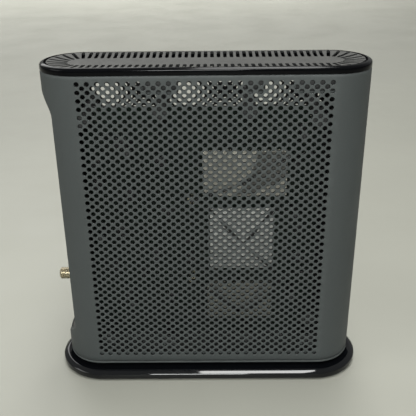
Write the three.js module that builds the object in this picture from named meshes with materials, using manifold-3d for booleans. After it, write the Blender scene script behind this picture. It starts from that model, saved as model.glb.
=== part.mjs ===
// Tower cable gateway: a slab-shaped casing on a plinth, with its board, shields, jacks and buttons.
// Millimetres. +X is the front edge, -X the rear edge with the jacks, -Y and +Y the broad vented
// sides and +Z up. The origin is the centre of the footprint, on the surface the feet stand on.
import * as THREE from "three";
import { mergeVertices } from "three/addons/utils/BufferGeometryUtils.js";
import Module from "manifold-3d";

const wasm = await Module();
wasm.setup();

// ---- Driving sizes -------------------------------------------------------------------------

const fit = 0.3; // gap that is left between pieces that touch
const endSegments = 18; // facets in each half-round end

const bodyLength = 230.6; // over the two round ends
const bodyWidth = 57.2;
const bodyHeight = 233.9; // bottom cover and side shells, without the rim
const wall = 2;

const footHeight = 1.2;
const footRadius = 6;
const plinthLength = 244.2;
const plinthWidth = 74.5;
const plinthThickness = 6.5;
const plinthEdgeRound = 1.8;
const neckInset = 9; // from the casing's outline
const neckHeight = 2.2;

const coverEdgeHeight = 2.4; // the band of the bottom cover that shows under the shells
const coverEdgeRound = 0.9;
const lipThickness = 2;
const lipHeight = 4;

const rimBandHeight = 2.8;
const rimShoulderRise = 2.1;
const rimShoulderInset = 3;
const rimSkirtDepth = 3.6; // how far the rim reaches down inside the shells
const rimLedge = 1.4; // width of the step that carries the grille
const grilleThickness = 1.6;
const grilleDish = 1.4; // how far its floor lies below its edge
const slotLength = 14.1;
const slotWidth = 2.6;
const slotPitch = 4.61;
const slotsPerSide = 37;
const slotsPerEnd = 10;

const recessDepth = 9;
const recessTopMargin = 8.2; // from the shells' top to where the recess leaves their outline
const recessBottomMargin = 15; // from the casing's underside
const recessUpperRamp = 22;
const recessLowerRamp = 16.5;
const panelInset = 0.6; // the panel's face behind the shells' edge
const panelThickness = 2;
const panelEndMargin = 7; // the panel's ends stop this far short of the recess's ends

const ventColumns = 26; // the fine pattern of vent holes, which the posts stand behind
const ventPitch = 6.8;
const ventRowPitch = 2.88;
const ventTopMargin = 5.3; // from the shells' top to the first row
const ventBottomMargin = 7; // from the shells' underside to the last row

const postRadius = 4.6;
const standoffRadius = 2.6;
const catchHeight = 7.5;
const catchThickness = 1.6;

const boardThickness = 1.6;
const boardNearFace = -6.2; // the side of the board that looks towards -Y
const boardBottomMargin = 15.5; // from the casing's underside
const boardTopMargin = 27; // from the shells' top
const boardFrontMargin = 31.3; // from the casing's front
const boardRearGap = 2; // from the panel's inner face
const postHoleClearance = 0.6;

const screwShankRadius = 1.2;
const screwHeadRadius = 2.5;
const screwHeadHeight = 1.8;
const screwLength = 7;
const plinthScrewX = 60;
const plinthScrewShank = 1.5;
const plinthScrewHead = 3.4;
const plinthScrewHeadHeight = 2;
const coverBossRadius = 4.2;
const coverBossHeight = 7;

const jackDepth = 21;
const jackHeight = 13.5;
const ethernetWidth = 16;
const ethernetMouth = [11.8, 8.2, 13]; // across, high and deep
const phoneWidth = 12.4;
const phoneMouth = [9.8, 7.4, 12];
const latchWidth = 5.6;
const latchHeight = 2;
const mouthDrop = 1; // the mouth's middle below the jack's middle, towards the board
const powerBlock = [13, 11, 11.5]; // deep, high and wide
const powerMouthRadius = 3.3;
const powerMouthDepth = 10.5;
const powerPinRadius = 1;
const powerPinLength = 6;

const coaxBlockDepth = 12;
const coaxBlockRim = 1.3; // round the barrel
const coaxBarrelRadius = 4.7;
const coaxBarrelEnd = 12.8; // from the shells' recessed edge to the barrel's tip
const coaxTipChamfer = 0.9;
const coaxBoreRadius = 3.6;
const coaxBoreDepth = 9;
const coaxContactRadius = 0.6;
const nutRim = 1.2; // from the barrel to the nut's flats
const nutThickness = 1.8;

const pairCapRadius = 4.6;
const pairCapStands = 0.9; // beyond the panel's face
const pairTravel = 1;
const resetCapRadius = 1.4;
const resetCapSinks = 0.8; // behind the panel's face
const resetTravel = 0.8;
const buttonFlange = 1.6;
const buttonFlangeThickness = 1.2;
const buttonStemRadius = 1.5;
const switchSize = [6, 7, 6];
const switchPlay = 0.4; // left between a fully pressed button and its switch

// Middles of the buttons and jacks, measured down from the top of the board.
const pairDrop = 21.4;
const phoneDrops = [36.4, 50.8];
const ethernetDrops = [68, 85.8, 103.6, 121.4];
const coaxDrop = 140.2;
const resetDrop = 153.4;
const powerDrop = 166.4;

const lensLength = 20;
const lensWidth = 2.6;
const lensDrop = 89.4; // its middle, below the top of the board
const ledBoardInset = 7; // behind the front of the casing
const ledBoardHeight = 34;
const antennaInset = 11;
const antennaThickness = 1;
const antennaHeight = 52;
const antennaDrops = { upper: 15.4, lower: 113.4 };
const leadRadius = 1.1;
const leadSocketSize = 5;

// What stands on the board: its two ends along X, its top below the board's top, and its height.
const upperCan = { x0: -3, x1: 59, drop: 32.4, height: 35, rise: 4 };
const lowerCan = { x0: -0.5, x1: 50, drop: 142.9, height: 31.5, rise: 4 };
const tunerCan = { gap: 2, length: 26, height: 17, rise: 8 };
const canSheet = 0.6;
const spreader = { x0: 2, x1: 50, drop: 78.4, height: 51, thickness: 1.5 };
const heatsink = { x0: -4, x1: 56, drop: 71.4, height: 64, base: 3, rise: 22, fins: 9, fin: 1.4 };
const chipSize = 27;
const chipHeight = 1.8;
const clipRadius = 0.6;
const clipOverhang = 2.2;

// ---- Levels and places worked out from them ---------------------------------------------------

const plinthBottom = footHeight + fit;
const plinthTop = plinthBottom + plinthThickness;
const neckTop = plinthTop + neckHeight;
const bodyBottom = neckTop + fit;
const shellBottom = bodyBottom + coverEdgeHeight + fit;
const shellTop = bodyBottom + bodyHeight;
const rimBottom = shellTop + fit;
const rimBandTop = rimBottom + rimBandHeight;
const rimTop = rimBandTop + rimShoulderRise;

const recessTop = shellTop - recessTopMargin;
const recessBottom = bodyBottom + recessBottomMargin;
const boardTop = shellTop - boardTopMargin;
const boardBottom = bodyBottom + boardBottomMargin;
const boardFront = bodyLength / 2 - boardFrontMargin;
const pairZ = boardTop - pairDrop;
const phoneZ = phoneDrops.map((drop) => boardTop - drop);
const ethernetZ = ethernetDrops.map((drop) => boardTop - drop);
const coaxZ = boardTop - coaxDrop;
const resetZ = boardTop - resetDrop;
const powerZ = boardTop - powerDrop;
const lensZ = boardTop - lensDrop;

const rearEdgeX = -bodyLength / 2 + recessDepth; // the shells' edge along the recess
const panelFaceX = rearEdgeX + panelInset;
const panelBackX = panelFaceX + panelThickness;
const boardRear = panelBackX + boardRearGap;
const boardFarFace = boardNearFace + boardThickness;
const jackAxisY = boardFarFace + fit + jackHeight / 2;
const innerFace = bodyWidth / 2 - wall;
const far = bodyLength; // reaches past everything, for cutting blocks

const body = { length: bodyLength, width: bodyWidth };
const plinth = { length: plinthLength, width: plinthWidth };

// The place behind a vent hole; the middle of a column's gap has a half in it.
function atVent(column, row) {
  const x = (column - (ventColumns - 1) / 2) * ventPitch;
  const z = shellTop - ventTopMargin - row * ventRowPitch;
  return new THREE.Vector2(x, z);
}

const ventField = shellTop - ventTopMargin - shellBottom - ventBottomMargin;
const lastRow = Math.round(ventField / ventRowPitch);

// Posts that meet at the split between the two side shells.
const postPlaces = [
  atVent(0, 9),
  atVent(8, 7),
  atVent(17, 7),
  atVent(24, 9),
  atVent(24, lastRow - 11),
  atVent(1, lastRow - 5),
  atVent(8, lastRow - 4),
  atVent(17, lastRow - 5),
  atVent(24, lastRow - 4),
];

// Standoffs on the near shell that the board is screwed to.
const standoffPlaces = [
  atVent(4.5, 17),
  atVent(1, 40),
  atVent(4, 60),
  atVent(22, 58),
  atVent(22, 34),
  atVent(22.5, 13),
];

// Catches for the rim on the shells' inner faces: middle and width along X.
const catches = [
  { x: -30, width: 24 },
  { x: 34, width: 12 },
  { x: 73, width: 26 },
];

// ---- Solids -------------------------------------------------------------------------------------

function solid(geometry) {
  const bare = geometry.index ? geometry.toNonIndexed() : geometry.clone();
  bare.deleteAttribute("normal");
  bare.deleteAttribute("uv");
  const merged = mergeVertices(bare, 1e-3);
  return new wasm.Manifold(
    new wasm.Mesh({
      numProp: 3,
      vertProperties: merged.attributes.position.array,
      triVerts: new Uint32Array(merged.index.array),
    }),
  );
}

function geometryOf(manifold) {
  const mesh = manifold.getMesh();
  const geometry = new THREE.BufferGeometry();
  geometry.setAttribute("position", new THREE.BufferAttribute(mesh.vertProperties, 3));
  geometry.setIndex(new THREE.BufferAttribute(mesh.triVerts, 1));
  geometry.computeVertexNormals();
  return geometry;
}

// A block from its low corner to its high corner.
function block(low, high) {
  const size = high.map((value, i) => value - low[i]);
  const middle = high.map((value, i) => (value + low[i]) / 2);
  return solid(new THREE.BoxGeometry(...size).translate(...middle));
}

// A round bar along X from x0 to x1, on the line y, z.
function barX(radius, x0, x1, y, z, sides = 20) {
  const bar = new THREE.CylinderGeometry(radius, radius, x1 - x0, sides);
  return solid(bar.rotateZ(Math.PI / 2).translate((x0 + x1) / 2, y, z));
}

// A round bar along Y from y0 to y1, on the line x, z.
function barY(radius, y0, y1, x, z, sides = 14) {
  const bar = new THREE.CylinderGeometry(radius, radius, y1 - y0, sides);
  return solid(bar.translate(x, (y0 + y1) / 2, z));
}

// A round bar along Z from z0 to z1, on the line x, y.
function barZ(radius, z0, z1, x, y, sides = 16) {
  const bar = new THREE.CylinderGeometry(radius, radius, z1 - z0, sides);
  return solid(bar.rotateX(Math.PI / 2).translate(x, y, (z0 + z1) / 2));
}

// An outline in X and Z, drawn out along Y from y0 to y1.
function sideways(shape, y0, y1, curveSegments = 8) {
  const settings = { depth: y1 - y0, bevelEnabled: false, curveSegments };
  const drawn = new THREE.ExtrudeGeometry(shape, settings);
  return solid(drawn.rotateX(Math.PI / 2).translate(0, y1, 0));
}

// The points of one level ring of a plan with half-round ends.
function ringPoints(plan, inset, z) {
  const radius = plan.width / 2 - inset;
  const centre = plan.length / 2 - plan.width / 2;
  const points = [];
  for (const side of [1, -1]) {
    for (let i = 0; i <= endSegments; i++) {
      const angle = (side > 0 ? -0.5 : 0.5) * Math.PI + (i / endSegments) * Math.PI;
      points.push(new THREE.Vector3(side * centre, 0, z));
      const last = points[points.length - 1];
      last.x += radius * Math.cos(angle);
      last.y += radius * Math.sin(angle);
    }
  }
  return points;
}

// A body made of level rings, each an inset from the plan and a height, listed from the bottom
// cap to the top cap, or round a closed section when hollow.
function ringBody(plan, section, hollow = false) {
  const rings = section.map(([inset, z]) => ringPoints(plan, inset, z));
  const around = rings[0].length;
  const positions = [];
  const push = (...corners) => corners.forEach((p) => positions.push(p.x, p.y, p.z));
  const bands = hollow ? rings.length : rings.length - 1;
  for (let r = 0; r < bands; r++) {
    const lower = rings[r];
    const upper = rings[(r + 1) % rings.length];
    for (let i = 0; i < around; i++) {
      const j = (i + 1) % around;
      push(lower[i], lower[j], upper[j]);
      push(lower[i], upper[j], upper[i]);
    }
  }
  if (!hollow) {
    const bottom = rings[0];
    const top = rings[rings.length - 1];
    for (let i = 1; i < around - 1; i++) {
      push(bottom[0], bottom[i + 1], bottom[i]);
      push(top[0], top[i], top[i + 1]);
    }
  }
  const geometry = new THREE.BufferGeometry();
  geometry.setAttribute("position", new THREE.Float32BufferAttribute(positions, 3));
  return solid(geometry);
}

// The rear recess: everything behind its curve, which is moved forward by shift.
function recessShape(shift) {
  const outer = -bodyLength / 2 + shift;
  const inner = outer + recessDepth;
  const upper = recessTop - recessUpperRamp;
  const lower = recessBottom + recessLowerRamp;
  const shape = new THREE.Shape();
  shape.moveTo(outer, recessTop);
  shape.bezierCurveTo(
    outer, recessTop - recessUpperRamp / 3,
    inner, upper + recessUpperRamp / 3,
    inner, upper,
  );
  shape.lineTo(inner, lower);
  shape.bezierCurveTo(
    inner, lower - recessLowerRamp / 3,
    outer, recessBottom + recessLowerRamp / 2.5,
    outer, recessBottom,
  );
  shape.lineTo(-far, recessBottom);
  shape.lineTo(-far, recessTop);
  shape.closePath();
  return shape;
}

// ---- Materials -----------------------------------------------------------------------------------

function finish(color, roughness, metalness) {
  return new THREE.MeshStandardMaterial({ color, roughness, metalness });
}

const materials = {
  casing: finish(0x4e5556, 0.62, 0),
  rim: finish(0x101214, 0.16, 0),
  grille: finish(0x3c3f40, 0.75, 0),
  plinth: finish(0x0b0c0e, 0.12, 0),
  panel: finish(0x17191a, 0.6, 0),
  rubber: finish(0x1c1c1c, 0.9, 0),
  board: finish(0x16301f, 0.5, 0),
  can: finish(0xa9acad, 0.35, 1),
  spreader: finish(0xd4d6d6, 0.3, 1),
  heatsink: finish(0x9a9c9e, 0.4, 1),
  chip: finish(0x161616, 0.5, 0),
  nickel: finish(0xa79f8b, 0.28, 1),
  insulator: finish(0xd8d3c4, 0.5, 0),
  jack: finish(0x1a1b1c, 0.5, 0),
  lens: finish(0xdfe6ea, 0.2, 0),
  steel: finish(0x7d7f80, 0.35, 1),
  cable: finish(0x141414, 0.6, 0),
};

const gateway = new THREE.Group();

function add(group, name, manifold, material, position = [0, 0, 0]) {
  const mesh = new THREE.Mesh(geometryOf(manifold), material);
  mesh.name = name;
  mesh.position.set(...position);
  group.add(mesh);
  return mesh;
}

// ---- Casing -----------------------------------------------------------------------------------------

function shellTube() {
  const section = [
    [0, shellBottom],
    [0, shellTop],
    [wall, shellTop],
    [wall, shellBottom],
  ];
  return ringBody(body, section, true);
}

function lensSlot() {
  const half = lensLength / 2 + fit;
  const low = [bodyLength / 2 - 2 * wall, -lensWidth / 2 - fit, lensZ - half];
  const high = [bodyLength / 2 + wall, lensWidth / 2 + fit, lensZ + half];
  return block(low, high);
}

// One half of the casing; side is -1 for the near shell and 1 for the far one.
function sideShell(side) {
  const recess = sideways(recessShape(0), -bodyWidth, bodyWidth);
  const split = (fit / 2) * side;
  const reach = far * side;
  const half = block(
    [-far, Math.min(split, reach), 0],
    [far, Math.max(split, reach), rimTop],
  );
  let shell = shellTube().subtract(recess).subtract(lensSlot()).intersect(half);
  const root = (innerFace + wall / 2) * side;
  const bar = (radius, place, end) =>
    barY(radius, Math.min(root, end), Math.max(root, end), place.x, place.y);
  for (const place of postPlaces) {
    shell = shell.add(bar(postRadius, place, split));
  }
  for (const { x, width } of catches) {
    const top = shellTop - rimSkirtDepth - fit;
    const inner = (innerFace - catchThickness) * side;
    const low = [x - width / 2, Math.min(root, inner), top - catchHeight];
    const high = [x + width / 2, Math.max(root, inner), top];
    shell = shell.add(block(low, high));
  }
  if (side < 0) {
    const screwHole = screwShankRadius + fit;
    for (const place of standoffPlaces) {
      const post = bar(standoffRadius, place, boardNearFace - fit);
      const hole = barY(screwHole, boardNearFace - screwLength, 0, place.x, place.y, 10);
      shell = shell.add(post.subtract(hole));
    }
  }
  return shell;
}

function rimRing() {
  const section = [[0, rimBottom]];
  const steps = 4;
  for (let i = 0; i <= steps; i++) {
    const angle = (i / steps) * (Math.PI / 2);
    const inset = rimShoulderInset * (1 - Math.cos(angle));
    section.push([inset, rimBandTop + rimShoulderRise * Math.sin(angle)]);
  }
  const ledgeZ = rimTop - grilleThickness - 2 * fit;
  const skirtOut = wall + fit;
  const skirtIn = rimShoulderInset + rimLedge;
  section.push([rimShoulderInset, ledgeZ]);
  section.push([skirtIn, ledgeZ]);
  section.push([skirtIn, shellTop - rimSkirtDepth]);
  section.push([skirtOut, shellTop - rimSkirtDepth]);
  section.push([skirtOut, rimBottom]);
  return ringBody(body, section, true);
}

function ventGrille() {
  const edge = rimShoulderInset + fit;
  const floor = rimShoulderInset + slotLength;
  const top = rimTop - fit / 2;
  const section = [
    [floor, top - grilleDish - grilleThickness],
    [edge, top - grilleThickness],
    [edge, top],
    [floor, top - grilleDish],
  ];
  let grille = ringBody(body, section);
  const outer = bodyWidth / 2 - rimShoulderInset - fit - rimLedge / 2;
  const inner = bodyWidth / 2 - floor;
  const slot = block([-slotWidth / 2, inner, shellTop - wall], [slotWidth / 2, outer, rimTop + wall]);
  const cuts = [];
  for (let i = 0; i < slotsPerSide; i++) {
    const x = (i - (slotsPerSide - 1) / 2) * slotPitch;
    cuts.push(slot.translate([x, 0, 0]), slot.rotate([0, 0, 180]).translate([x, 0, 0]));
  }
  const arcCentre = bodyLength / 2 - bodyWidth / 2;
  const step = 180 / (slotsPerEnd + 1);
  for (let i = 1; i <= slotsPerEnd; i++) {
    cuts.push(slot.rotate([0, 0, -i * step]).translate([arcCentre, 0, 0]));
    cuts.push(slot.rotate([0, 0, i * step]).translate([-arcCentre, 0, 0]));
  }
  for (const cut of cuts) {
    grille = grille.subtract(cut);
  }
  return grille;
}

function bottomCover() {
  const plateTop = bodyBottom + coverEdgeHeight;
  const lipIn = wall + fit + lipThickness;
  const plate = ringBody(body, [
    [coverEdgeRound, bodyBottom],
    [0, bodyBottom + coverEdgeRound],
    [0, plateTop],
  ]);
  const lip = ringBody(
    body,
    [
      [wall + fit, bodyBottom + coverEdgeRound],
      [wall + fit, plateTop + lipHeight],
      [lipIn, plateTop + lipHeight],
      [lipIn, bodyBottom + coverEdgeRound],
    ],
    true,
  );
  let cover = plate.add(lip);
  for (const x of [-plinthScrewX, plinthScrewX]) {
    const boss = barZ(coverBossRadius, bodyBottom + 1, plateTop + coverBossHeight, x, 0);
    const hole = barZ(plinthScrewShank + fit, 0, shellTop, x, 0, 12);
    cover = cover.add(boss).subtract(hole);
  }
  return cover;
}

function basePlinth() {
  const round = plinthEdgeRound;
  const slab = ringBody(plinth, [
    [round / 2, plinthBottom],
    [0, plinthBottom + round / 2],
    [0, plinthTop - round],
    [round * 0.3, plinthTop - round * 0.3],
    [round, plinthTop],
  ]);
  const neck = ringBody(body, [
    [neckInset, plinthTop - 1],
    [neckInset, neckTop],
  ]);
  let base = slab.add(neck);
  for (const x of [-plinthScrewX, plinthScrewX]) {
    const hole = barZ(plinthScrewShank + fit, 0, neckTop + 1, x, 0, 12);
    const sink = barZ(plinthScrewHead + fit, 0, plinthBottom + plinthScrewHeadHeight + fit, x, 0);
    base = base.subtract(hole).subtract(sink);
  }
  return base;
}

function buildCasing() {
  const casing = new THREE.Group();
  add(casing, "near_side_shell", sideShell(-1), materials.casing);
  add(casing, "far_side_shell", sideShell(1), materials.casing);
  add(casing, "top_rim_ring", rimRing(), materials.rim);
  add(casing, "top_vent_grille", ventGrille(), materials.grille);
  add(casing, "bottom_cover", bottomCover(), materials.casing);
  add(casing, "base_plinth", basePlinth(), materials.plinth);
  const footX = plinthLength / 2 - plinthWidth / 2;
  const footY = plinthWidth / 2 - 2 * footRadius;
  const foot = barZ(footRadius, 0, footHeight, 0, 0, 20);
  let number = 0;
  for (const x of [-footX, footX]) {
    for (const y of [-footY, footY]) {
      number += 1;
      add(casing, "rubber_foot_" + number, foot, materials.rubber, [x, y, 0]);
    }
  }
  const headTop = plinthBottom + plinthScrewHeadHeight;
  const screw = barZ(plinthScrewHead, plinthBottom, headTop, 0, 0).add(
    barZ(plinthScrewShank, plinthBottom, bodyBottom + coverBossHeight, 0, 0, 12),
  );
  add(casing, "plinth_screw_rear", screw, materials.steel, [-plinthScrewX, 0, 0]);
  add(casing, "plinth_screw_front", screw, materials.steel, [plinthScrewX, 0, 0]);
  return casing;
}

// ---- Rear panel, jacks and buttons ----------------------------------------------------------------

// The hole in the panel for a jack or a barrel, with the fit round it.
function panelWindow(width, high, z) {
  const low = [-far, jackAxisY - high / 2 - fit, z - width / 2 - fit];
  const up = [boardRear, jackAxisY + high / 2 + fit, z + width / 2 + fit];
  return block(low, up);
}

function rearPanel() {
  const reach = bodyWidth / 2;
  const band = sideways(recessShape(panelInset + panelThickness), -reach, reach).subtract(
    sideways(recessShape(panelInset), -reach, reach),
  );
  const inside = ringBody(body, [
    [wall + fit, recessBottom + panelEndMargin],
    [wall + fit, recessTop - panelEndMargin],
  ]);
  let panel = band.intersect(inside);
  for (const z of ethernetZ) {
    panel = panel.subtract(panelWindow(ethernetWidth, jackHeight, z));
  }
  for (const z of phoneZ) {
    panel = panel.subtract(panelWindow(phoneWidth, jackHeight, z));
  }
  panel = panel.subtract(panelWindow(powerBlock[2], powerBlock[1], powerZ));
  const rounds = [
    [coaxBarrelRadius, coaxZ],
    [pairCapRadius, pairZ],
    [resetCapRadius, resetZ],
  ];
  for (const [radius, z] of rounds) {
    panel = panel.subtract(barX(radius + fit, -far, boardRear, jackAxisY, z));
  }
  return panel;
}

// A modular jack whose face is at x = 0 and whose middle is on the X axis.
function modularJack(width, mouth) {
  const [across, high, deep] = mouth;
  const shell = block([0, -jackHeight / 2, -width / 2], [jackDepth, jackHeight / 2, width / 2]);
  const middle = -mouthDrop;
  const cavity = block([-1, middle - high / 2, -across / 2], [deep, middle + high / 2, across / 2]);
  const top = middle + high / 2;
  const latch = block([-1, top - 1, -latchWidth / 2], [deep, top + latchHeight, latchWidth / 2]);
  return shell.subtract(cavity).subtract(latch);
}

function powerInlet() {
  const [deep, high, wide] = powerBlock;
  const shell = block([0, -high / 2, -wide / 2], [deep, high / 2, wide / 2]);
  const bore = barX(powerMouthRadius, -1, powerMouthDepth, 0, 0);
  const pin = barX(powerPinRadius, powerMouthDepth - powerPinLength, powerMouthDepth + 1, 0, 0, 12);
  return shell.subtract(bore).add(pin);
}

function coaxBarrel() {
  const tip = rearEdgeX - coaxBarrelEnd;
  const seat = boardRear + fit;
  const half = coaxBarrelRadius + coaxBlockRim;
  const outline = [
    [coaxBoreRadius, tip],
    [coaxBarrelRadius - coaxTipChamfer, tip],
    [coaxBarrelRadius, tip + coaxTipChamfer],
    [coaxBarrelRadius, seat + 1],
    [0, seat + 1],
    [0, tip + coaxBoreDepth],
    [coaxBoreRadius, tip + coaxBoreDepth],
    [coaxBoreRadius, tip],
  ];
  const profile = outline.map(([radius, x]) => new THREE.Vector2(radius, x));
  const barrel = new THREE.LatheGeometry(profile, 24);
  const turned = barrel.rotateZ(-Math.PI / 2).translate(0, jackAxisY, coaxZ);
  const blockLow = [seat, boardFarFace + fit, coaxZ - half];
  const blockHigh = [seat + coaxBlockDepth, jackAxisY + half, coaxZ + half];
  return solid(turned).add(block(blockLow, blockHigh));
}

function coaxInsulator() {
  const tip = rearEdgeX - coaxBarrelEnd;
  const front = tip + coaxTipChamfer;
  const back = tip + coaxBoreDepth - fit;
  const plug = barX(coaxBoreRadius - fit, front, back, jackAxisY, coaxZ, 16);
  return plug.subtract(barX(coaxContactRadius, front - 1, back - 1, jackAxisY, coaxZ, 8));
}

function coaxNut() {
  const x1 = panelFaceX - fit;
  const flats = 2 * (coaxBarrelRadius + fit + nutRim);
  const radius = flats / Math.sqrt(3);
  const nut = barX(radius, x1 - nutThickness, x1, jackAxisY, coaxZ, 6);
  return nut.subtract(barX(coaxBarrelRadius + fit, x1 - far, x1 + far, jackAxisY, coaxZ));
}

// A push button on the X axis, with its face at x = 0: cap, flange behind the panel, and stem.
function pushButton(radius, faceToPanel, stemEnd, sides) {
  const flangeX = faceToPanel + panelThickness + fit;
  const cap = barX(radius, 0, flangeX + buttonFlangeThickness, 0, 0, sides);
  const flange = barX(radius + buttonFlange, flangeX, flangeX + buttonFlangeThickness, 0, 0, sides);
  return cap.add(flange).add(barX(buttonStemRadius, 1, stemEnd, 0, 0, 12));
}

function buildPorts() {
  const ports = new THREE.Group();
  add(ports, "rear_io_panel", rearPanel(), materials.panel);

  const jackGroup = new THREE.Group();
  jackGroup.position.set(panelFaceX + fit, jackAxisY, 0);
  ports.add(jackGroup);
  const ethernet = modularJack(ethernetWidth, ethernetMouth);
  ethernetZ.forEach((z, i) => {
    add(jackGroup, "ethernet_jack_" + (i + 1), ethernet, materials.jack, [0, 0, z]);
  });
  const phone = modularJack(phoneWidth, phoneMouth);
  phoneZ.forEach((z, i) => {
    add(jackGroup, "phone_jack_" + (i + 1), phone, materials.jack, [0, 0, z]);
  });
  add(jackGroup, "power_inlet", powerInlet(), materials.jack, [0, 0, powerZ]);

  add(ports, "coax_connector", coaxBarrel(), materials.nickel);
  add(ports, "coax_insulator", coaxInsulator(), materials.insulator);
  add(ports, "coax_nut", coaxNut(), materials.nickel);

  const [switchDeep, switchHigh, switchWide] = switchSize;
  const buttons = [
    ["pair", pairCapRadius, -pairCapStands, pairTravel, pairZ, 24],
    ["reset", resetCapRadius, resetCapSinks, resetTravel, resetZ, 12],
  ];
  for (const [name, radius, sunk, travel, z, sides] of buttons) {
    const stemEnd = boardRear - panelFaceX - sunk + fit;
    const button = pushButton(radius, -sunk, stemEnd, sides);
    const place = [panelFaceX + sunk, jackAxisY, z];
    add(ports, name + "_button", button, materials.jack, place);
    const x0 = boardRear + fit + travel + switchPlay;
    const low = [x0, boardFarFace + fit, z - switchWide / 2];
    const high = [x0 + switchDeep, jackAxisY + switchHigh / 2, z + switchWide / 2];
    add(ports, name + "_switch", block(low, high), materials.chip);
  }
  return ports;
}

// ---- Board and what stands on it ---------------------------------------------------------------------

function mainBoard() {
  let board = block(
    [boardRear, boardNearFace, boardBottom],
    [boardFront, boardFarFace, boardTop],
  );
  const through = [boardNearFace - 1, boardFarFace + 1];
  for (const place of postPlaces) {
    board = board.subtract(barY(postRadius + postHoleClearance, ...through, place.x, place.y));
  }
  for (const place of standoffPlaces) {
    board = board.subtract(barY(screwShankRadius + fit, ...through, place.x, place.y, 10));
  }
  return board;
}

// A pressed shield, open towards the board; face is -1 on the near side and 1 on the far side.
function shieldCan(face, { x0, x1, drop, height, rise }) {
  const seat = face < 0 ? boardNearFace - fit : boardFarFace + fit;
  const top = seat + face * rise;
  const lid = top - face * canSheet;
  const past = seat - face;
  const z1 = boardTop - drop;
  const z0 = z1 - height;
  const outer = block([x0, Math.min(seat, top), z0], [x1, Math.max(seat, top), z1]);
  const inner = block(
    [x0 + canSheet, Math.min(past, lid), z0 + canSheet],
    [x1 - canSheet, Math.max(past, lid), z1 - canSheet],
  );
  return outer.subtract(inner);
}

const spreaderNear = boardNearFace - chipHeight - 2 * fit - spreader.thickness;
const spreaderX = (spreader.x0 + spreader.x1) / 2;
const spreaderZ = boardTop - spreader.drop - spreader.height / 2;

// A sprung wire: two crossing arms over the spreader, with a leg down to the board at each corner.
function spreaderClip() {
  const reachX = (spreader.x1 - spreader.x0) / 2 + clipOverhang;
  const reachZ = spreader.height / 2 + clipOverhang;
  const y = spreaderNear - fit - clipRadius;
  const armLength = 2 * Math.hypot(reachX, reachZ);
  const lean = Math.atan2(reachX, reachZ);
  let clip = null;
  for (const turn of [lean, -lean]) {
    const bar = new THREE.CylinderGeometry(clipRadius, clipRadius, armLength, 8);
    bar.rotateX(Math.PI / 2).rotateY(turn).translate(spreaderX, y, spreaderZ);
    clip = clip ? clip.add(solid(bar)) : solid(bar);
  }
  for (const sx of [-1, 1]) {
    for (const sz of [-1, 1]) {
      const x = spreaderX + sx * reachX;
      const z = spreaderZ + sz * reachZ;
      clip = clip.add(barY(clipRadius, y, boardNearFace - fit, x, z, 8));
    }
  }
  return clip;
}

function finnedHeatsink() {
  const { x0, x1, base, rise, fins, fin } = heatsink;
  const shape = new THREE.Shape();
  shape.moveTo(x0, 0);
  shape.lineTo(x1, 0);
  const pitch = (x1 - x0 - fin) / (fins - 1);
  for (let i = fins - 1; i >= 0; i--) {
    const left = x0 + i * pitch;
    shape.lineTo(left + fin, rise);
    shape.lineTo(left, rise);
    if (i > 0) {
      shape.lineTo(left, base);
      shape.lineTo(left - pitch + fin, base);
    }
  }
  shape.closePath();
  const tall = { depth: heatsink.height, bevelEnabled: false };
  const drawn = new THREE.ExtrudeGeometry(shape, tall);
  const z0 = boardTop - heatsink.drop - heatsink.height;
  return solid(drawn.translate(0, boardFarFace + fit, z0));
}

// A flat board across the front end, held by its two long edges between the shells.
function crossBoard(inset, thickness, z0, height) {
  const x0 = bodyLength / 2 - inset;
  const x1 = x0 + thickness;
  const radius = innerFace - fit;
  const fromCentre = x1 - (bodyLength / 2 - bodyWidth / 2);
  const chord = radius * Math.cos(Math.PI / 2 / endSegments);
  const halfWidth = Math.sqrt(chord * chord - fromCentre * fromCentre);
  return block([x0, -halfWidth, z0], [x1, halfWidth, z0 + height]);
}

// Antenna leads, from a socket on the board to an antenna board: X, Y and the drop from the
// board's top.
const antennaFrontX = bodyLength / 2 - antennaInset;
const leadY = spreaderNear - 3;
const leads = {
  upper: [
    [-12, leadY, 71.4],
    [2, leadY, 65.4],
    [20, leadY, 59.4],
    [38, leadY, 49.4],
    [56, leadY, 37.4],
    [boardFront - 10, leadY, 33.4],
    [boardFront + 4, leadY + 4, 37.4],
    [antennaFrontX - 5, boardNearFace, 42.4],
    [antennaFrontX - fit, boardNearFace, 43.4],
  ],
  lower: [
    [-12, leadY, 139.4],
    [4, leadY, 151.4],
    [26, leadY, 165.4],
    [46, leadY, 155.4],
    [58, leadY, 137.4],
    [boardFront - 10, leadY, 131.4],
    [boardFront + 4, leadY + 4, 135.4],
    [antennaFrontX - 5, boardNearFace, 139.4],
    [antennaFrontX - fit, boardNearFace, 139.9],
  ],
};

function leadTube(points) {
  const route = points.map(([x, y, drop]) => new THREE.Vector3(x, y, boardTop - drop));
  const path = new THREE.CatmullRomCurve3(route);
  const section = new THREE.Shape().absarc(0, 0, leadRadius, 0, 2 * Math.PI);
  const settings = { steps: 30, extrudePath: path, curveSegments: 4, bevelEnabled: false };
  return solid(new THREE.ExtrudeGeometry(section, settings));
}

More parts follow.
